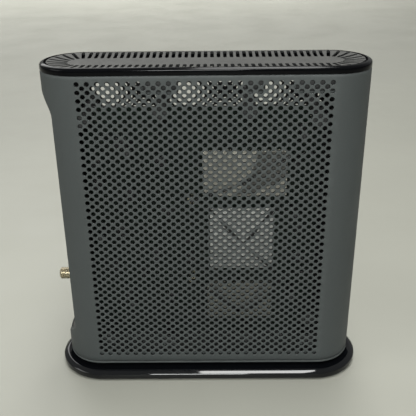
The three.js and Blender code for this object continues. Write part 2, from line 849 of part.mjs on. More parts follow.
function buildElectronics() {
  const parts = new THREE.Group();
  add(parts, "main_board", mainBoard(), materials.board);
  add(parts, "upper_shield_can", shieldCan(-1, upperCan), materials.can);
  add(parts, "lower_shield_can", shieldCan(-1, lowerCan), materials.can);
  const x0 = boardRear + coaxBlockDepth + tunerCan.gap;
  const drop = coaxDrop - tunerCan.height / 2;
  const tuner = shieldCan(1, { ...tunerCan, x0, x1: x0 + tunerCan.length, drop });
  add(parts, "tuner_can", tuner, materials.can);

  const half = chipSize / 2;
  const chip = block([-half, -chipHeight, -half], [half, 0, half]);
  add(parts, "main_chip", chip, materials.chip, [spreaderX, boardNearFace - fit, spreaderZ]);
  const plateZ = spreaderZ - spreader.height / 2;
  const plate = block(
    [spreader.x0, spreaderNear, plateZ],
    [spreader.x1, spreaderNear + spreader.thickness, plateZ + spreader.height],
  );
  add(parts, "heat_spreader", plate, materials.spreader);
  add(parts, "spreader_clip", spreaderClip(), materials.steel);
  add(parts, "finned_heatsink", finnedHeatsink(), materials.heatsink);

  const headSeat = boardFarFace + fit;
  const headTop = headSeat + screwHeadHeight;
  const screw = barY(screwHeadRadius, headSeat, headTop, 0, 0).add(
    barY(screwShankRadius, headSeat - screwLength, headTop, 0, 0, 10),
  );
  standoffPlaces.forEach((place, i) => {
    add(parts, "board_screw_" + (i + 1), screw, materials.steel, [place.x, 0, place.y]);
  });

  const ledLow = lensZ - ledBoardHeight / 2;
  add(parts, "led_board", crossBoard(ledBoardInset, 1, ledLow, ledBoardHeight), materials.board);
  const lensBack = bodyLength / 2 - ledBoardInset + 1 + fit;
  const lens = block(
    [lensBack, -lensWidth / 2, lensZ - lensLength / 2],
    [bodyLength / 2 - fit / 2, lensWidth / 2, lensZ + lensLength / 2],
  );
  add(parts, "front_light_lens", lens, materials.lens);

  for (const place of ["upper", "lower"]) {
    const low = boardTop - antennaDrops[place] - antennaHeight;
    const antenna = crossBoard(antennaInset, antennaThickness, low, antennaHeight);
    add(parts, "antenna_board_" + place, antenna, materials.board);
    add(parts, "antenna_lead_" + place, leadTube(leads[place]), materials.cable);
    const [x, , leadDrop] = leads[place][0];
    const side = leadSocketSize / 2;
    const socket = block([-side, leadY + leadRadius + fit, -side], [side, boardNearFace - fit, side]);
    add(parts, "antenna_socket_" + place, socket, materials.nickel, [x, 0, boardTop - leadDrop]);
  }
  return parts;
}

gateway.add(buildCasing(), buildPorts(), buildElectronics());

export default gateway;
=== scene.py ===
"""Looks of a tower cable gateway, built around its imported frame. Everything is in metres."""

import math
import random

import bmesh
import bpy
from mathutils import Matrix, Vector


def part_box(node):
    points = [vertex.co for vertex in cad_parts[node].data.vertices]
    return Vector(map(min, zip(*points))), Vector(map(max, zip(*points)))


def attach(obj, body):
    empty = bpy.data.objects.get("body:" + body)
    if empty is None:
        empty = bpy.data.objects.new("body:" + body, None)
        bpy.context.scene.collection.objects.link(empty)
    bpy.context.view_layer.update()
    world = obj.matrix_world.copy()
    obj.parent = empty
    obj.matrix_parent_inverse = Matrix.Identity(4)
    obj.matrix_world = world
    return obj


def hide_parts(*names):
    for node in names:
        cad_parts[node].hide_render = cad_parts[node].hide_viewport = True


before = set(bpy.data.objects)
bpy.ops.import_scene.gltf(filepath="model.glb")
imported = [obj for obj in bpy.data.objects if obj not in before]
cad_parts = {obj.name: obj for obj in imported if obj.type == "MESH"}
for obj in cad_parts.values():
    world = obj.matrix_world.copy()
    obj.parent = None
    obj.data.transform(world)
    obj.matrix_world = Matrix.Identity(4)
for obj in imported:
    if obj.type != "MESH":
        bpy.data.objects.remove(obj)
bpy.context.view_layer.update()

MM = 0.001
CASING = "casing"

# ---- Places taken from the frame -----------------------------------------------------------------

SHELL_LOW, SHELL_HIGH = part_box("near_side_shell")
RIM_LOW, RIM_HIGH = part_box("top_rim_ring")
GRILLE_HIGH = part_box("top_vent_grille")[1]
COVER_LOW, COVER_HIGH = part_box("bottom_cover")
PLINTH_LOW, PLINTH_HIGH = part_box("base_plinth")
PANEL_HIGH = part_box("rear_io_panel")[1]
BOARD_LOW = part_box("main_board")[0]
LENS_LOW, LENS_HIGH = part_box("front_light_lens")

END_RADIUS = -SHELL_LOW.y  # of the casing's half-round ends
HALF_STRAIGHT = SHELL_HIGH.x - END_RADIUS  # half the casing's flat stretch
PLINTH_RADIUS = PLINTH_HIGH.y
PLINTH_STRAIGHT = PLINTH_HIGH.x - PLINTH_RADIUS
WALL = 2 * MM
INNER_FACE = END_RADIUS - WALL
SEAM = 0.15 * MM  # half the gap between the two side shells

# ---- Vent pattern and what stands behind it ------------------------------------------------------

VENT_COLUMNS = 26
VENT_ROWS = 77
VENT_PITCH = 6.8 * MM
VENT_ROW_PITCH = 2.88 * MM
VENT_TOP = SHELL_HIGH.z - 5.3 * MM
VENT_RADIUS = 1.7 * MM
VENT_EDGE = 0.18 * MM  # broken edge round each hole
VENT_SIDES = 12
VENT_SHIFT = 0.5 * MM  # both shells come from one mould, so the pattern's offset points opposite ways
DIMPLE_DEPTH = 1.6 * MM  # of a hole that is closed by a post behind it
POSTS = [(0, 9), (8, 7), (17, 7), (24, 9), (24, 65), (1, 71), (8, 72), (17, 71), (24, 72)]
STANDOFFS = [(4.5, 17), (1, 40), (4, 60), (22, 58), (22, 34), (22.5, 13)]
POST_RADIUS = 4.6 * MM
STANDOFF_RADIUS = 2.6 * MM
CATCHES = [(-30 * MM, 24 * MM), (34 * MM, 12 * MM), (73 * MM, 26 * MM)]  # middle and width
CATCH_LOW = SHELL_HIGH.z - 11.4 * MM
CATCH_HIGH = SHELL_HIGH.z - 3.9 * MM
CATCH_THICKNESS = 1.6 * MM

# ---- Recess in the rear edge ---------------------------------------------------------------------

RECESS_DEPTH = 9 * MM
RECESS_TOP = SHELL_HIGH.z - 8.2 * MM
RECESS_BOTTOM = COVER_LOW.z + 15 * MM
RECESS_UPPER_RAMP = 22 * MM
RECESS_LOWER_RAMP = 16.5 * MM
PANEL_END_MARGIN = 7 * MM  # from the recess's lower end to the rear panel's


def mix(a, b, share):
    return a + (b - a) * share


def vent_x(column):
    return (column - (VENT_COLUMNS - 1) / 2) * VENT_PITCH


def vent_z(row):
    return VENT_TOP - row * VENT_ROW_PITCH


# ---- Camera and lights ---------------------------------------------------------------------------

CAMERA_PLACE = (0.0051, -0.4546, 0.3463)
CAMERA_TURN = (24.908, -0.564, 0.654)  # degrees down, to the right and clockwise
CAMERA_LENS = 56.53
SENSOR_WIDTH = 36
SKY_COLOUR = (0.93, 0.95, 0.92, 1)
SKY_STRENGTH = 0.36

# Each lamp's name, place, aim, size, power, colour and spread in degrees.
LAMPS = [
    ("key", (-0.07, -1.96, 1.13), (0.02, 0, 0.12), (0.45, 0.45), 38, (0.97, 1, 0.98), 180),
    ("ceiling_panel", (0.16, -0.04, 1.75), (0.16, 0, 0), (0.42, 2.0), 48, (1, 1, 0.98), 180),
    ("soft_left", (-1.9, -0.7, 1.1), (0, 0, 0.1), (1.2, 1.2), 12, (1, 1, 0.97), 180),
    ("far_panel", (-0.7, 2.6, 1.1), (-0.7, 2.61, 0), (3.2, 0.9), 42, (1, 1, 0.99), 125),
    ("soft_back", (-0.9, 1.9, 1.5), (0, 0, 0.1), (1.4, 1.4), 15, (1, 1, 0.98), 180),
]


def place_camera():
    """Looks down on the near side, a little from above."""
    pitch, yaw, roll = (math.radians(a) for a in CAMERA_TURN)
    level = math.cos(pitch)
    forward = Vector((math.sin(yaw) * level, math.cos(yaw) * level, -math.sin(pitch)))
    right = Vector((math.cos(yaw), -math.sin(yaw), 0))
    down = forward.cross(right)
    across = right * math.cos(roll) + down * math.sin(roll)
    upward = right * math.sin(roll) - down * math.cos(roll)
    turn = Matrix((across, upward, -forward)).transposed().to_4x4()
    data = bpy.data.cameras.new("camera")
    data.sensor_width = SENSOR_WIDTH
    data.lens = CAMERA_LENS
    data.clip_start = 0.01
    camera = bpy.data.objects.new("camera", data)
    camera.matrix_world = Matrix.Translation(CAMERA_PLACE) @ turn
    bpy.context.scene.collection.objects.link(camera)
    bpy.context.scene.camera = camera


def place_lamp(name, place, aim, size, power, colour, spread):
    """A soft rectangular panel of light, turned to face its aim."""
    data = bpy.data.lights.new(name, "AREA")
    data.shape = "RECTANGLE"
    data.size, data.size_y = size
    data.energy = power
    data.spread = math.radians(spread)
    data.color = colour
    lamp = bpy.data.objects.new(name, data)
    direction = Vector(aim) - Vector(place)
    turn = direction.to_track_quat("-Z", "Y").to_matrix().to_4x4()
    lamp.matrix_world = Matrix.Translation(place) @ turn
    bpy.context.scene.collection.objects.link(lamp)


def light_studio():
    """An even pale sky and a few soft panels."""
    bpy.context.scene.view_settings.view_transform = "Standard"
    world = bpy.data.worlds.new("studio_air")
    world.use_nodes = True
    air = world.node_tree.nodes["Background"]
    air.inputs["Color"].default_value = SKY_COLOUR
    air.inputs["Strength"].default_value = SKY_STRENGTH
    bpy.context.scene.world = world
    for lamp in LAMPS:
        place_lamp(*lamp)


# ---- Node trees ----------------------------------------------------------------------------------


class Tree:
    """Adds nodes to a node tree, and feeds each input a socket or a plain value."""

    def __init__(self, tree):
        self.tree = tree

    def feed(self, socket, value):
        if isinstance(value, bpy.types.NodeSocket):
            self.tree.links.new(value, socket)
        elif socket.type == "RGBA" and len(value) == 3:
            socket.default_value = (*value, 1)
        else:
            socket.default_value = value

    def add(self, kind, settings=None, inputs=None):
        node = self.tree.nodes.new(kind)
        for name, value in (settings or {}).items():
            setattr(node, name, value)
        for name, value in (inputs or {}).items():
            self.feed(node.inputs[name], value)
        return node

    def math(self, operation, a, b=0.0, clamp=False):
        settings = {"operation": operation, "use_clamp": clamp}
        return self.add("ShaderNodeMath", settings, {0: a, 1: b}).outputs[0]

    def remap(self, value, low, high, to_low=0.0, to_high=1.0):
        inputs = {"Value": value, "From Min": low, "From Max": high, "To Min": to_low, "To Max": to_high}
        return self.add("ShaderNodeMapRange", None, inputs).outputs["Result"]

    def blend(self, share, a, b, mode="MIX"):
        settings = {"data_type": "RGBA", "blend_type": mode}
        return self.add("ShaderNodeMix", settings, {0: share, 6: a, 7: b}).outputs[2]

    def place(self):
        return self.add("ShaderNodeTexCoord").outputs["Object"]

    def stretched(self, scale):
        return self.add("ShaderNodeMapping", None, {"Vector": self.place(), "Scale": scale}).outputs[0]

    def noise(self, scale, detail=2.0, roughness=0.5, vector=None):
        inputs = {"Scale": scale, "Detail": detail, "Roughness": roughness}
        inputs["Vector"] = vector or self.place()
        return self.add("ShaderNodeTexNoise", None, inputs).outputs["Fac"]

    def cells(self, scale, feature="F1", output="Distance", vector=None):
        inputs = {"Scale": scale, "Vector": vector or self.place()}
        return self.add("ShaderNodeTexVoronoi", {"feature": feature}, inputs).outputs[output]


def start_group(name, inputs, outputs):
    """A node group whose inputs are numbers or colours, with its outputs given as name and kind."""
    group = bpy.data.node_groups.new(name, "ShaderNodeTree")
    for label, value in inputs.items():
        kind = "NodeSocketColor" if isinstance(value, tuple) else "NodeSocketFloat"
        socket = group.interface.new_socket(name=label, in_out="INPUT", socket_type=kind)
        socket.default_value = (*value, 1) if isinstance(value, tuple) else value
    for label, kind in outputs.items():
        group.interface.new_socket(name=label, in_out="OUTPUT", socket_type="NodeSocket" + kind)
    tree = Tree(group)
    start = tree.add("NodeGroupInput")
    end = tree.add("NodeGroupOutput")
    return tree, start.outputs, end


def moulded_grain_group():
    """Fine pits and bumps of a textured mould, with a mask of its high spots, where a paler colour paints
    glints of light.
    """
    inputs = {"Scale": 1500.0, "Coarseness": 0.5}
    tree, given, end = start_group("moulded_grain", inputs, {"Height": "Float", "PaintedGlint": "Float"})
    fine = tree.noise(given["Scale"], 3.0, 0.6)
    pits = tree.cells(tree.math("MULTIPLY", given["Scale"], 0.55), "SMOOTH_F1")
    low = tree.math("MULTIPLY", pits, given["Coarseness"])
    height = tree.math("ADD", fine, low)
    tree.feed(end.inputs["Height"], height)
    tree.feed(end.inputs["PaintedGlint"], tree.remap(height, 0.45, 0.85))


def tone_drift_group():
    """Slow change of tone over a moulded or painted surface."""
    inputs = {"Color": (0.5, 0.5, 0.5), "Amount": 0.1, "Scale": 12.0}
    tree, given, end = start_group("tone_drift", inputs, {"Color": "Color"})
    cloud = tree.remap(tree.noise(given["Scale"], 4.0, 0.6), 0.3, 0.7, -1.0, 1.0)
    change = tree.math("MULTIPLY", cloud, given["Amount"])
    value = tree.math("ADD", change, 1.0)
    inputs = {"Color": given["Color"], "Value": value, "Saturation": 1.0}
    tinted = tree.add("ShaderNodeHueSaturation", None, inputs)
    tree.feed(end.inputs["Color"], tinted.outputs["Color"])


def edge_rub_group():
    """Mask of outside edges, broken up as hands and boxes rub them."""
    inputs = {"Amount": 0.5, "Scale": 300.0}
    tree, given, end = start_group("edge_rub", inputs, {"Mask": "Float"})
    sharp = tree.add("ShaderNodeNewGeometry").outputs["Pointiness"]
    edges = tree.remap(sharp, 0.51, 0.6)
    broken = tree.remap(tree.noise(given["Scale"], 3.0, 0.65), 0.35, 0.65)
    rubbed = tree.math("MULTIPLY", edges, broken)
    tree.feed(end.inputs["Mask"], tree.math("MULTIPLY", rubbed, given["Amount"], True))


def settled_dust_group():
    """Mask of thin dust on faces that look up."""
    inputs = {"Amount": 0.3, "Scale": 90.0}
    tree, given, end = start_group("settled_dust", inputs, {"Mask": "Float"})
    normal = tree.add("ShaderNodeNewGeometry").outputs["Normal"]
    upward = tree.add("ShaderNodeSeparateXYZ", None, {"Vector": normal}).outputs["Z"]
    lying = tree.remap(upward, 0.3, 1.0)
    patches = tree.remap(tree.noise(given["Scale"], 5.0, 0.7), 0.35, 0.7, 0.25, 1.0)
    thin = tree.math("MULTIPLY", lying, patches)
    tree.feed(end.inputs["Mask"], tree.math("MULTIPLY", thin, given["Amount"], True))


def fine_scratches_group():
    """Hair scratches in two crossing directions, for gloss plastic and metal."""
    inputs = {"Scale": 60.0, "Amount": 0.5}
    tree, given, end = start_group("fine_scratches", inputs, {"Height": "Float", "Mask": "Float"})
    along = tree.noise(given["Scale"], 2.0, 0.5, tree.stretched((0.6, 9, 14)))
    across = tree.noise(given["Scale"], 2.0, 0.5, tree.stretched((11, 0.8, 7)))
    lines = tree.math("MAXIMUM", tree.remap(along, 0.64, 0.7), tree.remap(across, 0.66, 0.72))
    mask = tree.math("MULTIPLY", lines, given["Amount"], True)
    tree.feed(end.inputs["Mask"], mask)
    tree.feed(end.inputs["Height"], tree.math("SUBTRACT", 1.0, mask))


def build_groups():
    moulded_grain_group()
    tone_drift_group()
    edge_rub_group()
    settled_dust_group()
    fine_scratches_group()


def use(tree, name, **inputs):
    """Places a node group in a material with its own values."""
    node = tree.add("ShaderNodeGroup", {"node_tree": bpy.data.node_groups[name]})
    for label, value in inputs.items():
        tree.feed(node.inputs[label], value)
    return node.outputs


# ---- Materials -----------------------------------------------------------------------------------


def start_material(name, metallic=0.0, specular=0.5, coat=0.0, coat_roughness=0.03):
    material = bpy.data.materials.new(name)
    material.use_nodes = True
    tree = Tree(material.node_tree)
    shader = material.node_tree.nodes["Principled BSDF"]
    shader.inputs["Metallic"].default_value = metallic
    shader.inputs["Specular IOR Level"].default_value = specular
    shader.inputs["Coat Weight"].default_value = coat
    shader.inputs["Coat Roughness"].default_value = coat_roughness
    return material, tree, shader


def set_bump(tree, shader, height, depth, strength=1.0):
    inputs = {"Height": height, "Distance": depth, "Strength": strength}
    tree.feed(shader.inputs["Normal"], tree.add("ShaderNodeBump", None, inputs).outputs["Normal"])


def textured_plastic(
    name, colour, roughness, grain, depth, glint_paint=0.12, drift=0.05, rub=0.3, dust=0.2, specular=0.4
):
    """Matte moulded plastic: grain per metre, its depth, paler high spots that paint glints of light, lighter
    rubbed edges and thin dust.
    """
    material, tree, shader = start_material(name, specular=specular)
    pits = use(tree, "moulded_grain", Scale=grain, Coarseness=0.5)
    base = use(tree, "tone_drift", Color=colour, Amount=drift, Scale=14.0)["Color"]
    pale = tuple(min(1, c * 1.7 + 0.02) for c in colour)
    # The paler colour on the grain's high spots is a painted glint of light.
    glinted = tree.blend(tree.math("MULTIPLY", pits["PaintedGlint"], glint_paint), base, pale)
    rubbed = use(tree, "edge_rub", Amount=rub, Scale=260.0)["Mask"]
    edged = tree.blend(rubbed, glinted, pale)
    lint = use(tree, "settled_dust", Amount=dust, Scale=120.0)["Mask"]
    tree.feed(shader.inputs["Base Color"], tree.blend(lint, edged, (0.36, 0.36, 0.34)))
    uneven = tree.remap(tree.noise(35.0, 4.0), 0.3, 0.7, roughness - 0.06, roughness + 0.06)
    tree.feed(shader.inputs["Roughness"], tree.math("ADD", uneven, tree.math("MULTIPLY", lint, 0.3), True))
    set_bump(tree, shader, pits["Height"], depth)
    return material


def gloss_plastic(name, colour, roughness, dust=0.05, specular=0.4):
    """Polished plastic with hair scratches, faint smears and a little dust."""
    material, tree, shader = start_material(name, specular=specular)
    hairs = use(tree, "fine_scratches", Scale=60.0, Amount=0.3)
    smear = tree.remap(tree.noise(22.0, 5.0, 0.65), 0.42, 0.75)
    base = use(tree, "tone_drift", Color=colour, Amount=0.15, Scale=9.0)["Color"]
    lint = use(tree, "settled_dust", Amount=dust, Scale=400.0)["Mask"]
    scored = tree.blend(tree.math("MULTIPLY", hairs["Mask"], 0.03), base, (0.05, 0.05, 0.055))
    tree.feed(shader.inputs["Base Color"], tree.blend(lint, scored, (0.2, 0.2, 0.19)))
    dull = tree.math("ADD", tree.math("MULTIPLY", smear, 0.03), tree.math("MULTIPLY", hairs["Mask"], 0.1))
    dull = tree.math("ADD", dull, tree.math("MULTIPLY", lint, 0.4))
    tree.feed(shader.inputs["Roughness"], tree.math("ADD", dull, roughness, True))
    set_bump(tree, shader, hairs["Height"], 0.0006 * MM)
    return material


def plated_metal(name, colour, roughness, drift=0.06, tarnish=(0.2, 0.17, 0.12), spots=0.25, metallic=1.0):
    """Plated or drawn metal with scratches and patches of tarnish."""
    material, tree, shader = start_material(name, metallic=metallic)
    hairs = use(tree, "fine_scratches", Scale=160.0, Amount=0.6)
    base = use(tree, "tone_drift", Color=colour, Amount=drift, Scale=60.0)["Color"]
    stain = tree.remap(tree.noise(240.0, 5.0, 0.7), 0.5, 0.75, 0.0, spots)
    tree.feed(shader.inputs["Base Color"], tree.blend(stain, base, tarnish))
    dull = tree.math("ADD", tree.math("MULTIPLY", stain, 0.4), tree.math("MULTIPLY", hairs["Mask"], 0.12))
    tree.feed(shader.inputs["Roughness"], tree.math("ADD", dull, roughness, True))
    set_bump(tree, shader, hairs["Height"], 0.006 * MM)
    return material


def brushed_metal(name, colour, roughness, scale, metallic=1.0):
    """Rolled sheet with its lines running along one axis, given by a stretch of the pattern."""
    material, tree, shader = start_material(name, metallic=metallic)
    lines = tree.noise(90.0, 4.0, 0.6, tree.stretched(scale))
    base = use(tree, "tone_drift", Color=colour, Amount=0.08, Scale=40.0)["Color"]
    dark = tuple(c * 0.7 for c in colour)
    tree.feed(shader.inputs["Base Color"], tree.blend(tree.remap(lines, 0.35, 0.65, 0, 0.5), dark, base))
    tree.feed(shader.inputs["Roughness"], tree.remap(lines, 0.3, 0.7, roughness - 0.08, roughness + 0.1))
    set_bump(tree, shader, lines, 0.01 * MM)
    return material


def board_resist_and_shade():
    """Dark green solder mask over copper tracks, with small pads and vias, darkened further to paint the
    shade inside the casing.
    """
    material, tree, shader = start_material("board_resist_and_shade", specular=0.25)
    flat = tree.stretched((1, 0.02, 1))
    tracks = tree.cells(190.0, "DISTANCE_TO_EDGE", vector=flat)
    on_track = tree.remap(tracks, 0.05, 0.07, 1, 0)
    vias = tree.remap(tree.cells(420.0, vector=flat), 0.12, 0.16, 1, 0)
    # Darker than the mask's own green, to paint the shade inside the casing.
    mask = use(tree, "tone_drift", Color=(0.0025, 0.007, 0.0045), Amount=0.2, Scale=30.0)["Color"]
    tracked = tree.blend(on_track, mask, (0.005, 0.014, 0.008))
    tree.feed(shader.inputs["Base Color"], tree.blend(vias, tracked, (0.06, 0.055, 0.04)))
    tree.feed(shader.inputs["Metallic"], tree.math("MULTIPLY", vias, 0.9))
    tree.feed(shader.inputs["Roughness"], tree.remap(on_track, 0, 1, 0.42, 0.3))
    set_bump(tree, shader, tree.math("MAXIMUM", on_track, vias), 0.04 * MM)
    return material


def clear_lens():
    """Grey light guide with a frosted face."""
    material, tree, shader = start_material("light_lens", specular=0.5, coat=0.4)
    frost = tree.noise(3000.0, 2.0)
    base = use(tree, "tone_drift", Color=(0.5, 0.52, 0.54), Amount=0.05, Scale=50.0)["Color"]
    tree.feed(shader.inputs["Base Color"], base)
    tree.feed(shader.inputs["Roughness"], tree.remap(frost, 0.3, 0.7, 0.25, 0.4))
    shader.inputs["Subsurface Weight"].default_value = 0.3
    shader.inputs["Subsurface Radius"].default_value = (0.002, 0.002, 0.002)
    set_bump(tree, shader, frost, 0.01 * MM)
    return material


def pale_floor():
    """Laminated table top with a faint cloud."""
    material, tree, shader = start_material("pale_floor", specular=0.35)
    base = use(tree, "tone_drift", Color=(0.228, 0.228, 0.199), Amount=0.05, Scale=2.5)["Color"]
    tree.feed(shader.inputs["Base Color"], base)
    tree.feed(shader.inputs["Roughness"], tree.remap(tree.noise(9.0, 4.0), 0.3, 0.7, 0.38, 0.52))
    set_bump(tree, shader, tree.noise(700.0, 2.0), 0.01 * MM)
    return material


def build_plastics():
    return {
        "casing": textured_plastic(
            "casing_blue_grey", (0.034, 0.0392, 0.039), 0.6, 2600.0, 0.03 * MM, dust=0.08
        ),
        # Near black, for faces that paint the shade inside the casing and down holes and slots.
        "inside": textured_plastic(
            "casing_inside", (0.004, 0.0045, 0.0045), 0.6, 2600.0, 0.02 * MM, dust=0
        ),
        "rim": gloss_plastic("rim_gloss_black", (0.0012, 0.0013, 0.0017), 0.08, dust=0, specular=0.09),
        "plinth": gloss_plastic("plinth_gloss_black", (0.001, 0.0013, 0.002), 0.03, dust=0.01),
        "grille": textured_plastic(
            "grille_dark_grey", (0.025, 0.025, 0.0235), 0.65, 1300.0, 0.08 * MM,
            glint_paint=0.4, drift=0.08, rub=0.1, dust=0.05, specular=0.2
        ),
        "panel": textured_plastic("panel_black", (0.012, 0.012, 0.013), 0.5, 2200.0, 0.04 * MM, 0.2),
        "foot": textured_plastic("foot_rubber", (0.016, 0.016, 0.016), 0.8, 1800.0, 0.05 * MM, 0.25),
        "chip": textured_plastic("chip_epoxy", (0.018, 0.018, 0.019), 0.45, 3000.0, 0.01 * MM, 0.2),
        "insulator": textured_plastic(
            "insulator_white", (0.72, 0.71, 0.66), 0.45, 1500.0, 0.01 * MM, 0.1
        ),
        "jack": textured_plastic("jack_black", (0.022, 0.022, 0.024), 0.38, 2400.0, 0.02 * MM, 0.15),
        "button": textured_plastic("button_grey", (0.045, 0.05, 0.052), 0.4, 2400.0, 0.02 * MM, 0.15),
        # A dark sheet laid on the cans to paint the shade bands across them.
        "shade_tape": textured_plastic("painted_shade_tape", (0.12, 0.116, 0.105), 0.6, 900.0, 0.04 * MM, 0.2),
        "cable": textured_plastic("cable_jacket", (0.012, 0.012, 0.012), 0.42, 2000.0, 0.02 * MM, 0.1),
    }


def build_metals():
    return {
        "shield": plated_metal("shield_tin_plate", (0.66, 0.63, 0.55), 0.42, metallic=0.1),
        # A darker copy of the can finish, for the lower can.
        "darker_shield": plated_metal("shield_darker_plate", (0.26, 0.25, 0.21), 0.5, metallic=0.1),
        # Near-white and matt, this colour paints the bright reflection that the plate shows through the
        # vents.
        "spreader": brushed_metal("spreader_aluminium_painted_sheen", (1, 0.99, 0.95), 0.5, (1, 1, 12), 0.0),
        "heatsink": brushed_metal("heatsink_aluminium", (0.55, 0.56, 0.57), 0.4, (14, 1, 1)),
        "nickel": plated_metal("nickel_plate", (0.5, 0.45, 0.34), 0.26, spots=0.3),
        "gold": plated_metal("gold_flash", (0.85, 0.62, 0.26), 0.22, spots=0.15),
        "steel": plated_metal("screw_steel", (0.3, 0.3, 0.31), 0.32, tarnish=(0.08, 0.06, 0.05)),
    }


def build_materials():
    build_groups()
    return {**build_plastics(), **build_metals(), "board": board_resist_and_shade(), "lens": clear_lens()}


# ---- Mesh tools ----------------------------------------------------------------------------------


def join_ring(mesh, low, high):
    """Quads between two rings of the same length."""
    made = []
    for i in range(len(low)):
        j = (i + 1) % len(low)
        made.append(mesh.faces.new((low[i], low[j], high[j], high[i])))
    return made


def loft(mesh, rings, closed=False, capped=True):
    """Skins rings of points: closed joins the last to the first, capped fills both ends."""
    made = [[mesh.verts.new(p) for p in ring] for ring in rings]
    for low, high in zip(made, made[1:]):
        join_ring(mesh, low, high)
    if closed:
        join_ring(mesh, made[-1], made[0])
    elif capped:
        mesh.faces.new(made[0])
        mesh.faces.new(made[-1])


def stadium(straight, radius, z, steps=24):
    """Outline of two half circles joined by flats, at one height."""
    points = []
    for sign in (1, -1):
        for i in range(steps + 1):
            angle = math.pi * (i / steps - 0.5)
            x = sign * (straight + radius * math.cos(angle))
            points.append(Vector((x, sign * radius * math.sin(angle), z)))
    return points


def sweep(mesh, straight, radius, profile, closed=True, steps=24):
    """Carries a profile of (inset, height) round a stadium outline."""
    rings = [stadium(straight, radius - inset, z, steps) for inset, z in profile]
    loft(mesh, rings, closed)


def frame_of(axis):
    """Two directions square to an axis."""
    axis = Vector(axis).normalized()
    side = axis.cross(Vector((0, 0, 1)) if abs(axis.z) < 0.9 else Vector((1, 0, 0))).normalized()
    return axis, side, axis.cross(side)


def lathe(mesh, centre, axis, profile, steps=24, closed=False):
    """Turns a profile of (radius, distance along the axis) about an axis."""
    along, side, up = frame_of(axis)
    rings = []
    for radius, distance in profile:
        middle = Vector(centre) + along * distance
        angles = [2 * math.pi * i / steps for i in range(steps)]
        rings.append([middle + radius * (side * math.cos(a) + up * math.sin(a)) for a in angles])
    loft(mesh, rings, closed)


def tube(mesh, points, radius, sides=10):
    """A round bar along a list of points."""
    points = [Vector(p) for p in points]
    ahead = (points[1] - points[0]).normalized()
    side = frame_of(ahead)[1]
    rings = []
    for i, point in enumerate(points):
        before = points[max(i - 1, 0)]
        after = points[min(i + 1, len(points) - 1)]
        ahead = (after - before).normalized()
        side = (side - ahead * side.dot(ahead)).normalized()
        up = ahead.cross(side)
        angles = [2 * math.pi * k / sides for k in range(sides)]
        rings.append([point + radius * (side * math.cos(a) + up * math.sin(a)) for a in angles])
    loft(mesh, rings)


def block(mesh, low, high, edge, segments=2):
    """A block with rounded edges."""
    low, high = Vector(low), Vector(high)
    place = Matrix.Translation((low + high) / 2) @ Matrix.Diagonal((*(high - low), 1))
    corners = bmesh.ops.create_cube(mesh, size=1, matrix=place)["verts"]
    edges = list({e for v in corners for e in v.link_edges})
    bmesh.ops.bevel(mesh, geom=edges, offset=edge, segments=segments, profile=0.5, affect="EDGES")


def arc(centre_inset, centre_z, radius, start, end, steps=5):
    """Profile points on a quarter round, with angles in degrees from outward, towards up."""
    points = []
    for i in range(steps + 1):
        angle = math.radians(mix(start, end, i / steps))
        inset = centre_inset - radius * math.cos(angle)
        points.append((inset, centre_z + radius * math.sin(angle)))
    return points


def chained_arcs(inset, z, stretches, steps=6):
    """Profile points along arcs that follow on from each other, each given as radius and two angles."""
    points = []
    for radius, start, end in stretches:
        turn = math.radians(start)
        centre = (inset + radius * math.cos(turn), z - radius * math.sin(turn))
        points += arc(*centre, radius, start, end, steps)
        inset, z = points[-1]
    return points


def smooth_route(points, steps=8):
    """Points on a Catmull-Rom curve through the given ones."""
    ends = [points[0] * 2 - points[1], *points, points[-1] * 2 - points[-2]]
    route = []
    for a, b, c, d in zip(ends, ends[1:], ends[2:], ends[3:]):
        for i in range(steps):
            t = i / steps
            bend = (2 * a - 5 * b + 4 * c - d) * t * t + (3 * b - a - 3 * c + d) * t ** 3
            route.append((2 * b + (c - a) * t + bend) / 2)
    route.append(points[-1])
    return route


def finish_piece(name, mesh, material, replaced=(), body=CASING, sharp=32):
    """Turns a mesh into a piece that rides on a body and takes one finish."""
    bmesh.ops.remove_doubles(mesh, verts=mesh.verts, dist=0.002 * MM)
    bmesh.ops.recalc_face_normals(mesh, faces=mesh.faces)
    data = bpy.data.meshes.new(name)
    mesh.to_mesh(data)
    mesh.free()
    data.polygons.foreach_set("use_smooth", [True] * len(data.polygons))
    data.set_sharp_from_angle(angle=math.radians(sharp))
    data.materials.append(material)
    piece = bpy.data.objects.new(name, data)
    bpy.context.scene.collection.objects.link(piece)
    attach(piece, body)
    if replaced:
        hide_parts(*replaced)
    return piece


# ---- Side shells ---------------------------------------------------------------------------------


def bezier(a, b, c, d, t):
    """A place on a cubic curve with its ends at a and d."""
    s = 1 - t
    return s ** 3 * a + 3 * s * s * t * b + 3 * s * t * t * c + t ** 3 * d


def ramp_depth(z, start, end, first, last):
    """Depth of an S-shaped ramp at a height, between where it starts and where it is full."""
    low, high = 0.0, 1.0
    rising = end > start
    for _ in range(24):
        t = (low + high) / 2
        if (bezier(start, first, last, end, t) < z) == rising:
            low = t
        else:
            high = t
    return RECESS_DEPTH * bezier(0, 0, 1, 1, low)


def rear_edge(z):
    """How far behind the middle the shells' rear edge lies at a height."""
    full = HALF_STRAIGHT + END_RADIUS
    upper = RECESS_TOP - RECESS_UPPER_RAMP
    lower = RECESS_BOTTOM + RECESS_LOWER_RAMP
    if z >= RECESS_TOP or z <= RECESS_BOTTOM:
        return full
    if z > upper:
        third = RECESS_UPPER_RAMP / 3
        return full - ramp_depth(z, RECESS_TOP, upper, RECESS_TOP - third, upper + third)
    if z < lower:
        first = RECESS_BOTTOM + RECESS_LOWER_RAMP / 2.5
        last = lower - RECESS_LOWER_RAMP / 3
        return full - ramp_depth(z, RECESS_BOTTOM, lower, first, last)
    return full - RECESS_DEPTH


LENS_GAP = 0.3 * MM
LENS_STEP = 0.05 * MM  # half the height over which the shells' edge steps back beside the lens


